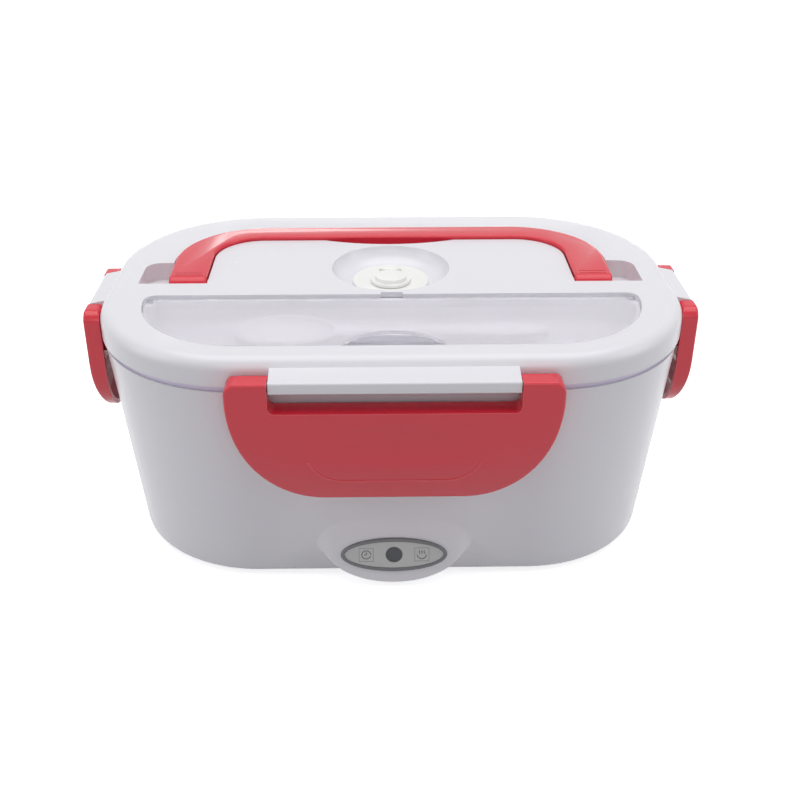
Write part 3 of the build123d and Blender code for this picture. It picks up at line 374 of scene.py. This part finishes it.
@dataclass(frozen=True)
class WorkedMetal:
    """Bare metal with a brushed or blasted surface and a few dull stains."""

    colour: Colour
    roughness: float
    dulled: float = 0.82
    line_scale: float = 1800.0
    line_stretch: Triple = (0.04, 1.0, 1.0)
    line_spread: float = 0.2
    line_depth: float = 0.006 * MM
    stain_scale: float = 60.0
    stain_band: Band = (0.45, 0.75)
    stain_spread: float = 0.08

    def material(self, name: str) -> bpy.types.Material:
        """Makes the material.

        Args:
            name: The material's name.

        Returns:
            The material.
        """
        graph = Graph.of_material(name)
        lines = graph.noise(graph.places(self.line_stretch), self.line_scale, detail=2.0)
        stains = graph.noise(graph.places(), self.stain_scale, detail=4.0)
        dull = tuple(part * self.dulled for part in self.colour)
        worn = (lines - NOISE_MIDDLE) * self.line_spread + stains * self.stain_spread
        colour = graph.blend(graph.step(stains, self.stain_band), self.colour, dull)
        return graph.finish(Base_Color=colour, Metallic=1.0, Roughness=self.roughness + worn,
                            Normal=graph.bump(lines, self.line_depth))


@dataclass(frozen=True)
class SoftRubber:
    """Silicone or rubber: matt, slightly milky, with fine dust in its pores."""

    colour: Colour
    dust: Colour
    roughness: float
    glow: float = 0.0
    glow_reach: Triple = (3.0 * MM, 3.0 * MM, 2.0 * MM)
    pore_scale: float = 1900.0
    pore_spread: float = 0.15
    pore_depth: float = 0.01 * MM
    dust_scale: float = 90.0
    dust_band: Band = (0.48, 0.78)
    dust_spread: float = 0.1

    def material(self, name: str) -> bpy.types.Material:
        """Makes the material.

        Args:
            name: The material's name.

        Returns:
            The material.
        """
        graph = Graph.of_material(name)
        here = graph.places()
        pores = graph.noise(here, self.pore_scale, detail=2.0)
        dusty = graph.step(graph.noise(here, self.dust_scale, detail=5.0), self.dust_band)
        matt = pores * self.pore_spread + dusty * self.dust_spread
        return graph.finish(Base_Color=graph.blend(dusty, self.colour, self.dust),
                            Roughness=self.roughness + matt, Subsurface_Weight=self.glow,
                            Subsurface_Radius=self.glow_reach, Subsurface_Scale=1.0,
                            Normal=graph.bump(pores, self.pore_depth))


@dataclass(frozen=True)
class PrintedSheet:
    """A thin satin plate or its printed ink, with a fine woven texture."""

    colour: Colour
    fleck: Colour
    roughness: float = 0.38
    line_scale: float = 2600.0
    line_stretch: Triple = (0.08, 1.0, 1.0)
    line_spread: float = 0.12
    line_depth: float = 0.004 * MM
    fleck_scale: float = 900.0
    fleck_band: Band = (0.5, 0.8)

    def material(self, name: str) -> bpy.types.Material:
        """Makes the material.

        Args:
            name: The material's name.

        Returns:
            The material.
        """
        graph = Graph.of_material(name)
        lines = graph.noise(graph.places(self.line_stretch), self.line_scale, detail=2.0)
        flecks = graph.step(graph.noise(graph.places(), self.fleck_scale, detail=3.0), self.fleck_band)
        return graph.finish(Base_Color=graph.blend(flecks, self.colour, self.fleck),
                            Roughness=self.roughness + (lines - NOISE_MIDDLE) * self.line_spread,
                            Normal=graph.bump(lines, self.line_depth))


SLOT_RECIPES: dict[str, Recipe] = {
    "white_shell": MouldedPlastic((0.80, 0.795, 0.83), (0.775, 0.77, 0.815), roughness=0.26,
                                  scratch=0.01, glow=0.04),
    "liner_plastic": MouldedPlastic((0.72, 0.66, 0.82), (0.70, 0.64, 0.80), roughness=0.30, glow=0.04),
    "food_plastic": MouldedPlastic((0.79, 0.79, 0.80), (0.76, 0.76, 0.78), roughness=0.42),
    "cutlery_plastic": MouldedPlastic((0.86, 0.85, 0.88), (0.83, 0.82, 0.86), roughness=0.22),
    # the red plastic's paler edge colour is a painted highlight along its edges
    "red_plastic": MouldedPlastic((0.74, 0.026, 0.050), (0.69, 0.021, 0.042), roughness=0.17,
                                  scratch=0.05, peel_scale=190.0, painted_edge_highlight=(0.86, 0.14, 0.17)),
    "clear_plastic": ClearPlastic((0.955, 0.93, 1.0), 0.84, roughness=0.14, clarity=0.72),
    "silicone": SoftRubber((0.90, 0.90, 0.865), (0.87, 0.865, 0.83), roughness=0.40, glow=0.10),
    "foot_rubber": SoftRubber((0.30, 0.30, 0.31), (0.42, 0.41, 0.40), roughness=0.62),
    "plate_aluminium": WorkedMetal((0.78, 0.78, 0.79), roughness=0.40),
    "screw_steel": WorkedMetal((0.60, 0.60, 0.62), roughness=0.30),
    "heater_ceramic": MouldedPlastic((0.62, 0.56, 0.46), (0.52, 0.47, 0.39), roughness=0.62),
    "switch_plastic": MouldedPlastic((0.035, 0.034, 0.034), (0.055, 0.053, 0.052), roughness=0.45),
    "black_plastic": MouldedPlastic((0.020, 0.020, 0.022), (0.030, 0.030, 0.032), roughness=0.42,
                                    grain_depth=0.01 * MM),
    "pin_brass": WorkedMetal((0.74, 0.58, 0.29), roughness=0.22),
    "lead_insulation": SoftRubber((0.66, 0.64, 0.58), (0.55, 0.53, 0.48), roughness=0.45),
    "bezel_grey": MouldedPlastic((0.185, 0.190, 0.200), (0.160, 0.165, 0.175), roughness=0.26),
    "panel_grey": PrintedSheet((0.56, 0.57, 0.565), (0.52, 0.53, 0.525)),
    "lens_dark": MouldedPlastic((0.055, 0.062, 0.072), (0.040, 0.046, 0.055), roughness=0.08),
    "lamp_glass": ClearPlastic((0.92, 0.84, 0.76), 0.35, roughness=0.04),
}
# the badge's dark ink, also used for the ring of painted shade round the window
BADGE_INK_AND_SHADE = PrintedSheet((0.075, 0.078, 0.080), (0.10, 0.10, 0.105))


# ---------------------------------------------------------------- placing pieces on the frame
class Bench:
    """Knows each node's body and slot, and dresses every piece."""

    def __init__(self) -> None:
        """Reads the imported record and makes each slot's material."""
        record = frame["record"]
        self.node_body = {node: body for body, nodes in record["behaviour"]["bodies"].items()
                          for node in nodes}
        self.node_slot = {row["node"]: row["material_slot"] for row in record["subparts"]}
        self.materials = {slot: recipe.material(slot) for slot, recipe in SLOT_RECIPES.items()}

    def dress_node(self, node: str) -> None:
        """Gives a node that stays its slot's finish.

        Args:
            node: The node's name.
        """
        mesh = frame["nodes"][node].data
        mesh.materials.clear()
        mesh.materials.append(self.materials[self.node_slot[node]])
        log.info("dressed %s as %s", node, self.node_slot[node])

    def add(self, name: str, body: str, slot: str, shape: bmesh.types.BMesh,
            ink: bpy.types.Material | None = None) -> bpy.types.Object:
        """Turns a finished bmesh into a piece that rides on a body.

        Args:
            name: The piece's name.
            body: The body it moves with.
            slot: The record's slot that it takes its finish from.
            shape: The shape, in the frame's own place; it is freed.
            ink: A material used instead of the slot's own.

        Returns:
            The new object.
        """
        mesh = bpy.data.meshes.new(name)
        shape.to_mesh(mesh)
        shape.free()
        mesh.shade_smooth()
        mesh.set_sharp_from_angle(angle=SHARP_ANGLE)
        mesh.materials.append(ink or self.materials[slot])
        piece = bpy.data.objects.new(name, mesh)
        bpy.context.scene.collection.objects.link(piece)
        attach(piece, body)
        log.info("made %s on %s with %d faces", name, body, len(mesh.polygons))
        return piece

    def skin(self, node: str, edge: float = 0.0) -> None:
        """Replaces a node by a welded, smooth-shaded copy with softened edges.

        Args:
            node: The node that the copy stands for.
            edge: Width of the softened edges in metres, or 0 for none.
        """
        shape = bmesh.new()
        shape.from_mesh(frame["nodes"][node].data)
        bmesh.ops.remove_doubles(shape, verts=shape.verts, dist=WELD)
        bmesh.ops.dissolve_degenerate(shape, dist=WELD, edges=shape.edges)
        bmesh.ops.dissolve_limit(shape, angle_limit=FLAT_ANGLE, verts=shape.verts, edges=shape.edges)
        piece = self.add(f"{node}_skin", self.node_body[node], self.node_slot[node], shape)
        if edge:
            soften = piece.modifiers.new("softened_edges", "BEVEL")
            soften.width = edge
            soften.segments = 3
            soften.limit_method = "ANGLE"
            soften.angle_limit = SHARP_ANGLE
            soften.use_clamp_overlap = True
            soften.harden_normals = True
        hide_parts(node)


# ---------------------------------------------------------------- shapes that pieces start from
def turned(profile: list[Point], steps: int) -> bmesh.types.BMesh:
    """A solid turned about Z from (radius, height) points that start and end on the axis.

    Args:
        profile: The half section, in metres.
        steps: Number of steps round the turn.

    Returns:
        The closed solid.
    """
    shape = bmesh.new()
    verts = [shape.verts.new((radius, 0.0, height)) for radius, height in profile]
    edges = [shape.edges.new(pair) for pair in zip(verts, verts[1:])]
    bmesh.ops.spin(shape, geom=verts + edges, cent=(0, 0, 0), axis=(0, 0, 1), angle=WHOLE_TURN,
                   steps=steps, use_merge=True, use_normal_flip=False, use_duplicate=False)
    bmesh.ops.remove_doubles(shape, verts=shape.verts, dist=WELD)
    bmesh.ops.recalc_face_normals(shape, faces=shape.faces)
    return shape


def ribbon(points: list[Point], width: float, depth: float, closed: bool) -> bmesh.types.BMesh:
    """A flat raised line that follows points in XY.

    Args:
        points: The line's middle, in metres.
        width: The line's width.
        depth: How far it stands up in Z from 0.
        closed: Whether the line joins its start.

    Returns:
        The closed solid.
    """
    shape = bmesh.new()
    count = len(points)
    sides: list[tuple[bmesh.types.BMVert, bmesh.types.BMVert]] = []
    for index, (x, y) in enumerate(points):
        before = points[index - 1] if closed or index else points[index]
        after = points[(index + 1) % count] if closed or index + 1 < count else points[index]
        along = (Vector(after) - Vector(before)).normalized()
        across = Vector((-along.y, along.x)) * width / 2
        sides.append((shape.verts.new((x + across.x, y + across.y, 0)),
                      shape.verts.new((x - across.x, y - across.y, 0))))
    pairs = list(zip(sides, sides[1:] + sides[:1])) if closed else list(zip(sides, sides[1:]))
    for (left, right), (next_left, next_right) in pairs:
        shape.faces.new((left, right, next_right, next_left))
    raised = bmesh.ops.extrude_face_region(shape, geom=shape.faces[:])
    tops = [item for item in raised["geom"] if isinstance(item, bmesh.types.BMVert)]
    bmesh.ops.translate(shape, verts=tops, vec=(0, 0, depth))
    bmesh.ops.recalc_face_normals(shape, faces=shape.faces)
    return shape


def merged(shapes: list[bmesh.types.BMesh]) -> bmesh.types.BMesh:
    """Puts several shapes into the first one.

    Args:
        shapes: The shapes; all but the first are freed.

    Returns:
        The first shape, which holds them all.
    """
    whole = shapes[0]
    for extra in shapes[1:]:
        carrier = bpy.data.meshes.new("carrier")
        extra.to_mesh(carrier)
        whole.from_mesh(carrier)
        bpy.data.meshes.remove(carrier)
        extra.free()
    return whole


def arc(radius: float, start: float, end: float, count: int, centre: Point = (0.0, 0.0)) -> list[Point]:
    """Points along an arc.

    Args:
        radius: Its radius.
        start: Its first angle in degrees.
        end: Its last angle in degrees.
        count: How many points.
        centre: Its centre.

    Returns:
        The points.
    """
    angles = [math.radians(start + (end - start) * step / (count - 1)) for step in range(count)]
    return [(centre[0] + radius * math.cos(a), centre[1] + radius * math.sin(a)) for a in angles]


# ---------------------------------------------------------------- sub-assemblies
@dataclass
class Housing:
    """The case, pot, tray, dish and lid, with the latches and smaller pieces fixed to or held in them."""

    bench: Bench
    shells: tuple[str, ...] = ("case_shell", "lid_shell", "inner_liner", "food_tray")
    shell_edge: float = 0.35 * MM
    latches: tuple[str, ...] = ("front_latch", "rear_latch", "left_latch", "right_latch")
    latch_edge: float = 0.9 * MM
    finer_pieces: tuple[str, ...] = ("carry_handle", "spoon_cover", "spoon", "side_dish", "side_dish_lid",
                                     "vent_seat", "vent_flap", "lid_seal", "bottom_cover", "feet",
                                     "inlet_housing", "indicator_bezel", "heating_plate")
    fine_edge: float = 0.2 * MM
    thumb_low: float = 55.0 * MM
    thumb_flat: float = 18.2 * MM
    thumb_corner: float = 13.5 * MM
    thumb_width: float = 0.7 * MM
    thumb_height: float = 0.3 * MM
    thumb_sink: float = 0.15 * MM
    thumb_sweep: float = 70.0
    thumb_points: int = 12

    def build(self) -> None:
        """Makes a smooth skin with softened edges for each node, and the long latches' thumb lines."""
        for nodes, edge in ((self.shells, self.shell_edge), (self.latches, self.latch_edge),
                            (self.finer_pieces, self.fine_edge)):
            for node in nodes:
                self.bench.skin(node, edge)
        self.thumb_line("front_latch", -1)
        self.thumb_line("rear_latch", 1)

    def thumb_line(self, node: str, facing: int) -> None:
        """Raises the curved line on a long latch's face, below the place that a thumb presses.

        Args:
            node: The latch.
            facing: -1 for a latch that faces the front, 1 for one that faces the rear.
        """
        middle = self.thumb_low + self.thumb_corner
        down = 270.0
        left = arc(self.thumb_corner, down - self.thumb_sweep, down, self.thumb_points,
                   (-self.thumb_flat, middle))
        right = arc(self.thumb_corner, down, down + self.thumb_sweep, self.thumb_points,
                    (self.thumb_flat, middle))
        shape = ribbon(left + right, self.thumb_width, self.thumb_height, False)
        bmesh.ops.transform(shape, matrix=FRONT_FACING, verts=shape.verts)
        about = 0.0 if facing < 0 else math.pi
        bmesh.ops.rotate(shape, verts=shape.verts, cent=(0, 0, 0), matrix=Matrix.Rotation(about, 3, "Z"))
        mesh = frame["nodes"][node].data
        face = BVHTree.FromPolygons([vert.co for vert in mesh.vertices],
                                    [polygon.vertices for polygon in mesh.polygons])
        low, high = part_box(node)
        outside = (low.y if facing < 0 else high.y) + facing * self.thumb_low
        for vert in shape.verts:
            hit = face.ray_cast(Vector((vert.co.x, outside, vert.co.z)), Vector((0, -facing, 0)))[0]
            vert.co.y += hit.y - facing * self.thumb_sink
        self.bench.add(f"{node}_thumb_line", self.bench.node_body[node], "red_plastic", shape)


@dataclass(frozen=True)
class Line:
    """One line of the badge's marks, which are print and one ring of painted shade: its points, its width
    and whether it joins its start.
    """

    points: list[Point]
    width: float
    closed: bool = False


@dataclass
class Indicator:
    """The oval plate at the front with its window, its lamp and two pictograms."""

    bench: Bench
    ink_width: float = 0.32 * MM
    mark_depth: float = 0.05 * MM
    frame_half: float = 2.75 * MM
    frame_line: float = 0.45
    icon_x: float = 10.7 * MM
    icon_radius: float = 0.62
    dial_points: int = 24
    dial_end: float = 345.0
    hand_lean: float = 0.1
    hand_reach: float = 0.62
    tail_reach: float = 0.45
    bowl_points: int = 13
    bowl_drop: float = 0.05
    steam_line: float = 0.8
    steam_apart: float = 0.34
    steam_sway: float = 0.07
    steam_rise: float = 0.1
    steam_points: int = 6
    tilt: float = 12.0
    plate_depth: float = 0.5 * MM
    # the dark ring round the window is painted shade at the lens's edge
    lens_shade_radius: float = 3.05 * MM
    lens_shade_width: float = 0.45 * MM
    lens_shade_points: int = 48
    lamp_length: float = 8.0 * MM
    lamp_recess: float = 0.02 * MM
    electrode_radius: float = 0.28 * MM
    electrode_pitch: float = 1.5 * MM
    electrode_share: float = 0.7
    electrode_round: float = 0.7
    electrode_steps: int = 16

    def build(self) -> None:
        """Makes the skins, the printed marks, a dark ring of painted shade round the window and the
        lamp's electrodes.
        """
        for node in ("indicator_plate", "indicator_lens", "lamp_sleeve", "neon_lamp"):
            self.bench.skin(node)
        self.marks()
        self.electrodes()

    def facing(self, node: str, ahead: float) -> Matrix:
        """Lays a piece made in XY square to the leaning badge.

        Args:
            node: The node whose middle the piece is centred on.
            ahead: How far in front of that middle it lies.

        Returns:
            The place and turn.
        """
        low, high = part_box(node)
        lean = Matrix.Rotation(math.radians(-self.tilt), 4, "X") @ FRONT_FACING
        return Matrix.Translation((low + high) / 2) @ lean @ Matrix.Translation((0, 0, ahead))

    def marks(self) -> None:
        """Prints a framed dial and a framed bowl with rising heat, and lays a dark ring round the window
        as painted shade at the lens's edge.
        """
        plate = self.facing("indicator_plate", self.plate_depth / 2)
        # one dark material serves the printed pictograms and the ring of painted shade round the window
        ink = BADGE_INK_AND_SHADE.material("badge_ink_and_shade")
        for name, side, lines in (("dial_mark", -1, self.dial()), ("lens_shade_ring", 0, self.lens_shade_ring()),
                                  ("bowl_mark", 1, self.bowl())):
            shape = merged([ribbon(line.points, line.width, self.mark_depth, line.closed)
                            for line in lines])
            place = plate @ Matrix.Translation((side * self.icon_x, 0, 0))
            bmesh.ops.transform(shape, matrix=place, verts=shape.verts)
            self.bench.add(name, "case", "bezel_grey", shape, ink)

    def outline(self) -> Line:
        """The thin square frame round a pictogram.

        Returns:
            The frame.
        """
        half = self.frame_half
        corners = [(-half, -half), (half, -half), (half, half), (-half, half)]
        return Line(corners, self.ink_width * self.frame_line, True)

    def dial(self) -> list[Line]:
        """The dial pictogram.

        Returns:
            Its frame, its open ring and its two hands.
        """
        radius = self.frame_half * self.icon_radius
        strokes = (arc(radius, 0, self.dial_end, self.dial_points),
                   [(0.0, 0.0), (radius * self.hand_lean, radius * self.hand_reach)],
                   [(-radius * self.tail_reach, 0.0), (0.0, 0.0)])
        return [self.outline(), *(Line(points, self.ink_width) for points in strokes)]

    def lens_shade_ring(self) -> list[Line]:
        """A dark ring round the window, painted shade at the lens's edge.

        Returns:
            The ring alone, in a list as the pictograms' lines are.
        """
        last = 360.0 - 360.0 / self.lens_shade_points
        ring = arc(self.lens_shade_radius, 0, last, self.lens_shade_points)
        return [Line(ring, self.lens_shade_width, True)]

    def bowl(self) -> list[Line]:
        """The bowl pictogram.

        Returns:
            Its frame, the bowl and the three wisps of rising heat.
        """
        half = self.frame_half
        bowl = arc(half * self.icon_radius, 180, 360, self.bowl_points, (0.0, -half * self.bowl_drop))
        lines = [self.outline(), Line(bowl, self.ink_width)]
        for column in (-1, 0, 1):
            wisp = [(half * (column * self.steam_apart + self.steam_sway * math.sin(step * math.pi / 2)),
                     half * self.steam_rise * (1 + step)) for step in range(self.steam_points)]
            lines.append(Line(wisp, self.ink_width * self.steam_line))
        return lines

    def electrodes(self) -> None:
        """Puts two round-ended rods inside the lamp's glass."""
        lamp_end = self.facing("neon_lamp", self.lamp_recess - self.lamp_length / 2)
        length = self.lamp_length * self.electrode_share
        radius = self.electrode_radius
        shoulder = (radius * self.electrode_round, length - radius * (1 - self.electrode_round))
        half_section = [(0, 0), (radius, 0), (radius, length - radius), shoulder, (0, length)]
        rods = []
        for side in (-1, 1):
            rod = turned(half_section, self.electrode_steps)
            place = lamp_end @ Matrix.Translation((side * self.electrode_pitch / 2, 0, 0))
            bmesh.ops.transform(rod, matrix=place, verts=rod.verts)
            rods.append(rod)
        self.bench.add("lamp_electrodes", "case", "screw_steel", merged(rods))


@dataclass
class Underside:
    """The screws in the bottom cover, each with a cross recess."""

    bench: Bench
    points: int = 32
    head_radius: float = 2.8 * MM
    head_height: float = 1.5 * MM
    head_flat: float = 0.72
    head_crown: tuple[Point, ...] = ((0.93, 0.22 * MM), (1.0, 0.7 * MM))
    cross_reach: float = 1.5 * MM
    cross_waist: float = 0.5 * MM
    wing_power: int = 3
    recess: float = 0.8 * MM
    recess_taper: float = 0.7
    shank_radius: float = 1.25 * MM
    tip_share: float = 0.4
    tip_length: float = 1.0 * MM

    def build(self) -> None:
        """Replaces the plain screws by pan heads with a cross recess and a pointed shank."""
        node = "bottom_screws"
        low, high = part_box(node)
        inner_x = (high.x - low.x) / 2 - self.head_radius
        inner_y = (high.y - low.y) / 2 - self.head_radius
        screws = []
        for x in (-inner_x, inner_x):
            for y in (-inner_y, inner_y):
                screw = self.screw(high.z - low.z)
                bmesh.ops.transform(screw, matrix=Matrix.Translation((x, y, low.z)), verts=screw.verts)
                screws.append(screw)
        piece = self.bench.add(f"{node}_cross_head", self.bench.node_body[node], "screw_steel",
                               merged(screws))
        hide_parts(node)

    def screw(self, length: float) -> bmesh.types.BMesh:
        """One screw that stands head down on Z = 0.

        Args:
            length: Its whole length.

        Returns:
            The screw.
        """
        shape = bmesh.new()
        count = self.points
        rim = self.ring(shape, [self.head_radius * self.head_flat] * count, 0.0)
        cross = self.ring(shape, [self.cross_radius(step / count) for step in range(count)], 0.0)
        bmesh.ops.bridge_loops(shape, edges=rim + cross)
        wall = bmesh.ops.extrude_edge_only(shape, edges=cross)["geom"]
        sunk = [item for item in wall if isinstance(item, bmesh.types.BMVert)]
        bmesh.ops.translate(shape, verts=sunk, vec=(0, 0, self.recess))
        bmesh.ops.scale(shape, vec=(self.recess_taper, self.recess_taper, 1.0), verts=sunk)
        bottom = [item for item in wall if isinstance(item, bmesh.types.BMEdge)]
        bmesh.ops.contextual_create(shape, geom=bottom)
        sections = [(self.head_radius * share, height) for share, height in self.head_crown]
        sections += [(self.head_radius, self.head_height), (self.shank_radius, self.head_height),
                     (self.shank_radius, length - self.tip_length),
                     (self.shank_radius * self.tip_share, length)]
        last = rim
        for radius, height in sections:
            grown = self.ring(shape, [radius] * count, height)
            bmesh.ops.bridge_loops(shape, edges=last + grown)
            last = grown
        bmesh.ops.contextual_create(shape, geom=last)
        bmesh.ops.recalc_face_normals(shape, faces=shape.faces)
        return shape

    def cross_radius(self, share: float) -> float:
        """Reach of the cross recess in one direction.

        Args:
            share: Share of a whole turn.

        Returns:
            The radius there.
        """
        wing = abs(math.cos(2 * share * WHOLE_TURN)) ** self.wing_power
        return self.cross_waist + (self.cross_reach - self.cross_waist) * wing

    def ring(self, shape: bmesh.types.BMesh, radii: list[float],
             height: float) -> list[bmesh.types.BMEdge]:
        """A closed loop of edges at a height.

        Args:
            shape: The mesh that it goes into.
            radii: A radius for each point round the loop.
            height: The loop's height.

        Returns:
            Its edges.
        """
        made = bmesh.ops.create_circle(shape, segments=len(radii), radius=1.0)["verts"]
        for vert, radius in zip(made, radii):
            vert.co = Vector((vert.co.x * radius, vert.co.y * radius, height))
        return list({edge for vert in made for edge in vert.link_edges})


@dataclass
class Works:
    """The nodes inside the case, which keep their own meshes."""

    bench: Bench
    nodes: tuple[str, ...] = ("heater_element", "heater_clamp", "clamp_screws", "thermostat",
                              "thermal_fuse", "inlet_pins", "power_leads", "lamp_leads")

    def build(self) -> None:
        """Gives each inner node its slot's finish."""
        for node in self.nodes:
            self.bench.dress_node(node)


# ---------------------------------------------------------------- studio
@dataclass(frozen=True)
class SoftBox:
    """A rectangular lamp: its place, the height it aims at, its size in metres and its power in watts."""

    place: Triple
    aim_height: float
    width: float
    depth: float
    power: float


class Lamp(Enum):
    """The studio's soft boxes."""

    OVERHEAD = SoftBox((0.0, 0.05, 1.25), aim_height=0.08, width=1.5, depth=1.1, power=11.0)
    LEFT = SoftBox((-1.2, -0.35, 0.55), aim_height=0.05, width=0.7, depth=0.9, power=3.2)
    RIGHT = SoftBox((1.2, -0.35, 0.55), aim_height=0.05, width=0.7, depth=0.9, power=3.2)
    FRONT = SoftBox((0.0, -1.5, 0.75), aim_height=0.05, width=1.2, depth=0.5, power=3.3)
    REAR = SoftBox((0.0, 1.5, 0.18), aim_height=0.05, width=1.2, depth=0.25, power=1.5)


@dataclass
class Studio:
    """A white floor, an even pale surround, five soft boxes and the camera."""

    camera_at: Triple = (-0.00666, -0.40955, 0.27106)
    camera_aim_height: float = 0.05
    lens: float = 49.0
    sensor: float = 36.0
    shift: tuple[float, float] = (0.0112, -0.0198)
    clip: tuple[float, float] = (0.01, 20.0)
    surround: Colour = (0.92, 0.92, 0.96)
    surround_light: float = 0.25
    floor_colour: Colour = (0.80, 0.80, 0.82)
    floor_bounce: Colour = (0.46, 0.46, 0.47)
    floor_lift: float = 0.70
    floor_fade: Band = (0.5, 1.8)
    floor_half: float = 4.0

    def build(self) -> None:
        """Makes the floor, the surround, the lamps and the camera."""
        self.make_floor()
        self.make_surround()
        for lamp in Lamp:
            self.make_lamp(lamp)
        self.make_camera()

    def seen_directly(self, graph: Graph) -> Signal:
        """A mask that is 1 for camera, glossy and transmission rays.

        Args:
            graph: The graph that it is made in.

        Returns:
            The mask.
        """
        rays = [graph.node("ShaderNodeLightPath", output=name)
                for name in ("Is Camera Ray", "Is Glossy Ray", "Is Transmission Ray")]
        return graph.math("MINIMUM", rays[0] + rays[1] + rays[2], 1.0)

    def make_floor(self) -> None:
        """Lays the floor: white with soft shadows where it is seen, darker where it bounces light."""
        graph = Graph.of_material("studio_floor")
        here = graph.node("ShaderNodeTexCoord", output="Object")
        away = graph.node("ShaderNodeVectorMath", {"operation": "LENGTH"}, {0: here}, "Value")
        lift = self.floor_lift + graph.step(away, self.floor_fade) * (1 - self.floor_lift)
        matt = graph.node("ShaderNodeBsdfDiffuse", None, {"Color": (*self.floor_colour, 1.0)})
        dim = graph.node("ShaderNodeBsdfDiffuse", None, {"Color": (*self.floor_bounce, 1.0)})
        glow = graph.node("ShaderNodeEmission", None, {"Color": SEEN_WHITE, "Strength": lift})
        lifted = graph.node("ShaderNodeAddShader", None, {0: matt, 1: glow})
        seen = graph.node("ShaderNodeMixShader", None,
                          {0: self.seen_directly(graph), 1: dim, 2: lifted})
        graph.node("ShaderNodeOutputMaterial", None, {"Surface": seen})
        shape = bmesh.new()
        bmesh.ops.create_grid(shape, x_segments=2, y_segments=2, size=self.floor_half)
        mesh = bpy.data.meshes.new("floor")
        shape.to_mesh(mesh)
        shape.free()
        mesh.materials.append(graph.owner)
        floor = bpy.data.objects.new("floor", mesh)
        bpy.context.scene.collection.objects.link(floor)

    def make_surround(self) -> None:
        """Sets a pale surround that is plain white where it is seen."""
        graph = Graph(bpy.data.worlds.new("surround"))
        bpy.context.scene.world = graph.owner
        light = graph.node("ShaderNodeBackground", None,
                           {"Color": (*self.surround, 1.0), "Strength": self.surround_light})
        white = graph.node("ShaderNodeBackground", None, {"Color": SEEN_WHITE, "Strength": 1.0})
        seen = graph.node("ShaderNodeMixShader", None,
                          {0: self.seen_directly(graph), 1: light, 2: white})
        graph.node("ShaderNodeOutputWorld", None, {"Surface": seen})

    def make_lamp(self, lamp: Lamp) -> None:
        """Hangs one soft box.

        Args:
            lamp: Which one.
        """
        box = lamp.value
        data = bpy.data.lights.new(lamp.name.lower(), "AREA")
        data.shape, data.size, data.size_y, data.energy = "RECTANGLE", box.width, box.depth, box.power
        self.hang(lamp.name.lower(), data, box.place, box.aim_height)

    def hang(self, name: str, data: bpy.types.Light | bpy.types.Camera,
             place: Triple, aim_height: float) -> bpy.types.Object:
        """Places a lamp or the camera and turns it to the box's middle.

        Args:
            name: The object's name.
            data: The lamp or camera.
            place: Where it hangs.
            aim_height: Height over the origin that it looks at.

        Returns:
            The object.
        """
        hung = bpy.data.objects.new(name, data)
        hung.location = place
        sight = Vector((0.0, 0.0, aim_height)) - Vector(place)
        hung.rotation_euler = sight.to_track_quat("-Z", "Y").to_euler()
        bpy.context.scene.collection.objects.link(hung)
        return hung

    def make_camera(self) -> None:
        """Sets the camera at the photograph's angle and framing."""
        data = bpy.data.cameras.new("camera")
        data.lens, data.sensor_width = self.lens, self.sensor
        data.shift_x, data.shift_y = self.shift
        data.clip_start, data.clip_end = self.clip
        camera = self.hang("camera", data, self.camera_at, self.camera_aim_height)
        bpy.context.scene.camera = camera


def main() -> None:
    """Builds the sub-assemblies in order, then the studio."""
    bench = Bench()
    for assembly in (Housing(bench), Indicator(bench), Underside(bench), Works(bench), Studio()):
        assembly.build()
        log.info("finished %s", type(assembly).__name__)
    bpy.context.scene.view_settings.view_transform = "Standard"


if __name__ == "__main__":
    main()
